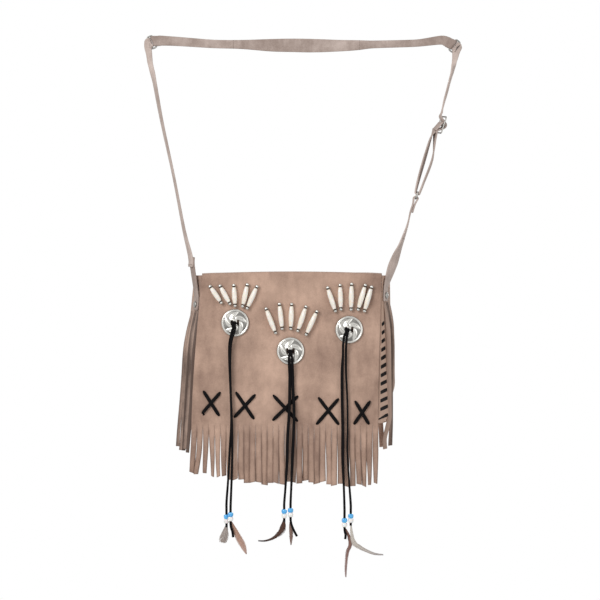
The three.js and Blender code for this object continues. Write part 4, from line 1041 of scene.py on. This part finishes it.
def fold(bar, body, over, wide, width, stub=FOLD_STUB):
    layer = STRAP_THICK / 2 + GAP
    straight = TURN_RADIUS + stub / 4
    spots = [(stub, layer), (straight, layer)]
    spots += [(-TURN_RADIUS * sin(a), TURN_RADIUS * cos(a)) for a in HALF_TURN]
    spots += [(straight, -layer), (stub + GAP, -layer)]
    return [(bar + body * t + over * side, wide, width) for t, side in spots]


def bent_fold(bar, out, wide, leads):
    turns = [(BACK * cos(a) - out * sin(a)) * TURN_RADIUS for a in HALF_TURN]
    made = [(bar + turn, wide, FOLDED) for turn in turns]
    for apart, (x, z, tilt, width) in zip((2.2, 1.5, 1.4), leads):
        level = Vector((cos(radians(tilt)), 0, sin(radians(tilt))))
        made = [(Vector((x, apart, z)), level, width), *made, (Vector((x, -apart, z)), level, width)]
    return made


def run(stations):
    spots = [Vector((x, 0, z)) for x, z, _, _ in stations]
    made = []
    for k, (spot, (_, _, turned_by, width)) in enumerate(zip(spots, stations)):
        along = spots[min(k + 1, len(spots) - 1)] - spots[max(k - 1, 0)]
        level = Vector((-along.z, 0, along.x)).normalized()
        turn = radians(turned_by)
        made.append((spot, level * cos(turn) + BACK * sin(turn), width))
    return made


def seam_row(middle, wide, normal, width):
    along = wide.cross(normal).normalized()
    rows = []
    for k in range(SEAM_STITCHES):
        across = (k / (SEAM_STITCHES - 1) - 0.5) * 0.84
        spot = middle + wide * width * across + normal * (STRAP_THICK / 2)
        path = [spot - wide * 0.8 - normal * 0.4, spot - wide * 0.4 + normal * 0.08]
        path += [spot + wide * 0.4 + normal * 0.08, spot + wide * 0.8 - normal * 0.4]
        rows.append(strip(path, [along] * 4, [0.6] * 4, 0.4, 2))
    return rows


def band(name, stations, seams=()):
    path, wides, widths = zip(*stations)
    parts = [strip(path, wides, widths, STRAP_THICK)]
    for row in seams:
        parts += seam_row(*row)
    return together(name, parts, [strap_suede, thread], [0] + [1] * (len(parts) - 1))


def wire_loop(long, wide, wire, flat=1.0, corner=2.6):
    line = []
    for sx, sy, start in ((1, 1, 0), (-1, 1, 90), (-1, -1, 180), (1, -1, 270)):
        for k in range(7):
            angle = radians(start + 15 * k)
            x = sx * (long / 2 + wire / 2 - corner) + corner * cos(angle)
            line.append(Vector((x, sy * (wide / 2 + wire / 2 - corner) + corner * sin(angle), 0)))
    points, faces, sides = [], [], WIRE_SIDES
    for k, p in enumerate(line):
        after = (k + 1) % len(line)
        out = (line[after] - line[k - 1]).normalized().cross(UP)
        for i in range(sides):
            angle, n = 2 * pi * i / sides, (i + 1) % sides
            points.append(p + (out * cos(angle) + UP * flat * sin(angle)) * wire / 2)
            faces.append((k * sides + i, after * sides + i, after * sides + n, k * sides + n))
    return points, faces


def wire_piece(name, parts, x_axis, y_axis, at, body, node_name):
    normal = x_axis.cross(y_axis)
    placed = []
    for points, faces in parts:
        placed.append(([at + x_axis * x + y_axis * y + normal * z for x, y, z in points], faces))
    made = together(name, placed, nickel_silver)
    shades(made, RUBBED, "recess")
    fixed(made, body, "nickel_silver", node_name)


LEFT_RING, LEFT_UP = Vector((-197.4, 0, 14.4)), Vector((-0.388, 0, 0.922)).normalized()
RIGHT_RING, RIGHT_UP = Vector((228.8, 0, 9)), Vector((0.588, 0, 0.809)).normalized()
LEFT_OUT, RIGHT_OUT = BACK.cross(LEFT_UP) * -1, BACK.cross(RIGHT_UP)
RING_BAR = bar_offset(RING_INSIDE[1])
SHOULDER = (
    (-172, 16.2, 0, 13.4), (-150, 14.8, 0, 12.8), (-110, 12, 0, 12), (-72, 11.3, 0, 12.8),
    (-30, 10.2, 0, 17.6), (0, 10.1, 0, 19), (30, 9.6, 0, 19), (66, 9.6, 0, 16.4), (92, 10.3, 0, 14.2),
    (108, 11.1, 0, 11.6), (124, 11.6, 0, 10.8), (170, 12.9, 0, 10.4), (188, 14.6, 0, 11),
    (210, 17.4, 0, 12.8),
)
LEFT_BODY, RIGHT_BODY = Vector((0.998, 0, 0.06)), Vector((-0.9, 0, 0.436))
ends = [
    fold(LEFT_RING - LEFT_OUT * RING_BAR, LEFT_BODY, BACK, LEFT_UP, FOLDED, RING_STUB),
    fold(RIGHT_RING - RIGHT_OUT * RING_BAR, RIGHT_BODY, BACK, RIGHT_UP, FOLDED, RING_STUB),
]
seams = [(Vector((x, 0, z)), UP, -BACK, wide) for x, z, wide in ((95, 10.4, 13.4), (-82.6, 11.4, 12.2))]
shoulder = band("shoulder_band", [*ends[0], *run(SHOULDER), *ends[1][::-1]], seams)
# painted shade: the whole shoulder band is painted darker
shades(shoulder, SHOULDER_PAINTED_SHADE)
fixed(shoulder, "bag", "strap_suede", "shoulder_strap")
ring = wire_loop(*RING_INSIDE, RING_WIRE)
wire_piece("left_ring_wire", [ring], LEFT_UP, LEFT_OUT, LEFT_RING, "bag", "left_ring")
wire_piece("right_ring_wire", [ring], RIGHT_UP, RIGHT_OUT, RIGHT_RING, "bag", "right_ring")


# Left strap: a band of suede bent through the left ring, which hangs edge on and is sewn to the
# left tab with one row of thread.
LEFT_FOOT, LEFT_FOOT_TURN = -143, -63
LEFT_SEWN, LEFT_SEAM = (-288, -302), -299
LEFT_RUN = (
    (-198.4, -21, -35, 8.6), (-196.2, -30, -52, 10.8), (-193.6, -42, -66, 12.8), (-189.3, -66, -71, 14),
    (-182, -104, -75, 14), (-166.6, -175, -78, 14), (-152.2, -250, -74, 14),
    *((LEFT_FOOT, z, LEFT_FOOT_TURN, STRAP_WIDTH) for z in LEFT_SEWN),
)
LEFT_LEADS = ((-202.6, 6.4, -24, 10.6), (-201.4, -2, 2, 8.6), (-200.2, -12, 12, 7.8))
left_hang = bent_fold(LEFT_RING + LEFT_OUT * RING_BAR, LEFT_OUT, -LEFT_UP, LEFT_LEADS)
LEFT_TURN = radians(LEFT_FOOT_TURN)
seam_wide = Vector((cos(LEFT_TURN), sin(LEFT_TURN), 0))
seams = [(Vector((LEFT_FOOT, 0, LEFT_SEAM)), seam_wide, seam_wide.cross(UP), STRAP_WIDTH)]
fixed(band("left_band", [*left_hang, *run(LEFT_RUN)], seams), "bag", "strap_suede", "left_strap")


# Tabs and rivets: a suede tab on each side, laid on the gusset over the side fringe and held by a
# domed silver rivet. The left strap is sewn to the left one, and the right one holds the lower ring.
LEFT_TAB_TONE = -0.45
TAB_HEIGHT = GAP + SUEDE + GAP + STRAP_THICK / 2
TAB_DEPTH = 10
RIVETS = {-1: -355, 1: -342}


def tab_end(side):
    made = []
    for z in (RIVETS[side] + 12, RIVETS[side] - 8):
        inward = side_frame(side, z)[1]
        made.append((on_side(side, z, TAB_DEPTH, TAB_HEIGHT), inward * side, STRAP_WIDTH))
    return made


tab_x = LEFT_FOOT + (STRAP_THICK + GAP) / sin(-LEFT_TURN)
left_tab = run([(tab_x, z, LEFT_FOOT_TURN, STRAP_WIDTH) for z in LEFT_SEWN])
left_tab = band("left_tab_band", [*left_tab, *tab_end(-1)])
shades(left_tab, LEFT_TAB_TONE)
fixed(left_tab, "bag", "strap_suede", "left_tab")

LOWER_RING = Vector((175.5, 0, -201.4))
TAB_DOWN = Vector((-0.3, 0, -0.954)).normalized()
tab_bar = LOWER_RING + TAB_DOWN * bar_offset(LOWER_RING_INSIDE[1])
RIGHT_TAB = (
    (162.6, -243, 84, 14), (156.2, -262, 73, 14), (152, -273.4, 64, 14), (147.2, -285, 46, 14.5),
    (142.8, -296.7, 32, 14.5), (139.4, -306, 36, 14.5),
)
tab_fold, tab_run = fold(tab_bar, TAB_DOWN, TAB_DOWN.cross(BACK), BACK, STRAP_WIDTH), run(RIGHT_TAB)
spot, wide, width = tab_run[1]
seams = [(spot, wide, TAB_DOWN.cross(wide).normalized(), width)]
right_tab = band("right_tab_band", [*tab_fold, *tab_run, *tab_end(1)], seams)
fixed(right_tab, "bag", "strap_suede", "right_tab")
ring = wire_loop(LOWER_RING_INSIDE[1], LOWER_RING_INSIDE[0], RING_WIRE)
wire_piece("lower_ring_wire", [ring], TAB_DOWN, BACK, LOWER_RING, "bag", "lower_ring")

RIVET_CAP = ((4.3, 0), (4.5, 0.4), (4.2, 1.0), (3.4, 1.5), (2.2, 1.85), (1, 1.98), (0.05, 2))
for side, name in ((-1, "left"), (1, "right")):
    cap = together(f"{name}_rivet_cap", [turned(RIVET_CAP, RIVET_SIDES)], nickel_silver)
    cap.location = on_side(side, RIVETS[side], TAB_DEPTH, TAB_HEIGHT + STRAP_THICK / 2 + GAP) * MM
    cap.rotation_mode = "QUATERNION"
    cap.rotation_quaternion = side_frame(side, RIVETS[side])[2].to_track_quat("Z", "Y")
    shades(cap, RUBBED, "recess")
    fixed(cap, "bag", "nickel_silver", f"{name}_tab_rivet")


# Right strap and slide: the band comes down from its ring, weaves through a three-bar slide, turns
# round the lower ring and comes back up to be sewn round the slide's middle bar.
SLIDE_AT = Vector((208, 0, -101))
SLIDE_HEIGHT, SLIDE_BAR, SLIDE_THICK = 26, 2.2, 1.8
SLIDE_ASKEW, SLIDE_SHIFT = -22, 2.6
turn_bar = LOWER_RING - TAB_DOWN * bar_offset(LOWER_RING_INSIDE[1])
SLIDE_DOWN = (turn_bar - SLIDE_AT).normalized()
SLIDE_RIGHT = Vector((-SLIDE_DOWN.z, 0, SLIDE_DOWN.x))
LOOP = (turn_bar - SLIDE_AT).length
BESIDE = STRAP_THICK / 2 + SLIDE_THICK / 2 + GAP + 0.1
SLIDE_TURN = hypot(SLIDE_BAR, SLIDE_THICK) / 2 + GAP + STRAP_THICK / 2 + 0.15
PAST = SLIDE_TURN + STRAP_THICK + GAP + 0.1
OUTER = SLIDE_HEIGHT / 2
BAR_IN = OUTER - SLIDE_BAR - 0.6


def slide_path(spots):
    made = []
    for t, side, *turned_by in spots:
        turn = radians(turned_by[0] if turned_by else SLIDE_ASKEW)
        wide = BACK * cos(turn) + SLIDE_RIGHT * sin(turn)
        off = SLIDE_RIGHT * cos(turn) - BACK * sin(turn)
        made.append((SLIDE_AT + SLIDE_DOWN * t + off * side, wide, STRAP_WIDTH))
    return made


def arc(centre, radius, way):
    turns = [radians(45 * k) for k in range(5)]
    return [(centre + way * radius * sin(a), radius * cos(a)) for a in turns]


RIGHT_RUN = (
    (227, -21, 50, 8.4), (224.9, -30, 72, 11), (221.8, -41, 79, 13), (218.2, -55, 80, 14),
    (214, -70, 83, 14),
)
RIGHT_LEADS = ((231, 0.8, 26, 11), (229.8, -7, 0, 8.4), (228.4, -14, -10, 6.8))
right_hang = bent_fold(RIGHT_RING + RIGHT_OUT * RING_BAR, RIGHT_OUT, RIGHT_UP, RIGHT_LEADS)
weave = [(-OUTER - 3, -BESIDE, -2), (-BAR_IN, -BESIDE, -8), (-SLIDE_TURN, PAST + 1)]
weave += [(SLIDE_TURN, PAST + 1), (BAR_IN, -BESIDE), (OUTER + 1.5, -BESIDE)]
loop = [weave[-1], (OUTER + 10, 0, -10), (LOOP * 0.5, 5.4, 8), (LOOP * 0.83, 4, 8)]
loop += [(t, side, 8) for t, side in arc(LOOP, TURN_RADIUS, 1)]
loop += [(LOOP * 0.83, -4.4, 14), (LOOP * 0.5, -5.6, 16), (OUTER + 9, -BESIDE - 3.6, 6)]
loop.append((BAR_IN, -BESIDE - STRAP_THICK - 0.5))
sewn = [loop[-1], *((t, SLIDE_SHIFT - side) for t, side in arc(0, SLIDE_TURN, -1))]
sewn.append((1, SLIDE_SHIFT + SLIDE_TURN))
upper = band("right_upper_band", [*right_hang, *run(RIGHT_RUN), *slide_path(weave[:1])])
lower = band("right_lower_band", slide_path(loop))
# painted shade on the inner face of the strap's loop round the lower ring, darkest at its back edge
LOOP_INNER_SHADE = (-1.3, -0.5, 0, 0, 0, 0, 0, 0, 0, -0.2)
shades(lower, [LOOP_INNER_SHADE[k % STRIP_SIDES] for k in range(len(lower.data.vertices))])
woven = together(
    "right_woven_band",
    [strip(*zip(*slide_path(spots)), STRAP_THICK) for spots in (weave, sewn)],
    strap_suede,
)
for made in (upper, lower, woven):
    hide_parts("right_strap")
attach(woven, "slide")
slide_top, slide_low, slide_middle = slide_path([weave[0], (OUTER + 1.5, 0), (0, SLIDE_SHIFT)])
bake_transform(upper)
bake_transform(lower)

wide = STRAP_WIDTH + 1
rim = wire_loop(SLIDE_HEIGHT - 2 * SLIDE_BAR, wide, SLIDE_BAR, SLIDE_THICK / SLIDE_BAR, 1.6)
reach = wide / 2 + 0.6
points, faces = turned([(0.05, -reach), (0.95, -reach), (0.95, reach), (0.05, reach)], 16)
middle_bar = ([(x, z, y) for x, y, z in points], faces)
spot, wide, _ = slide_middle
wire_piece("slide_wire", [rim, middle_bar], SLIDE_DOWN, wide, spot, "slide", "slide_buckle")
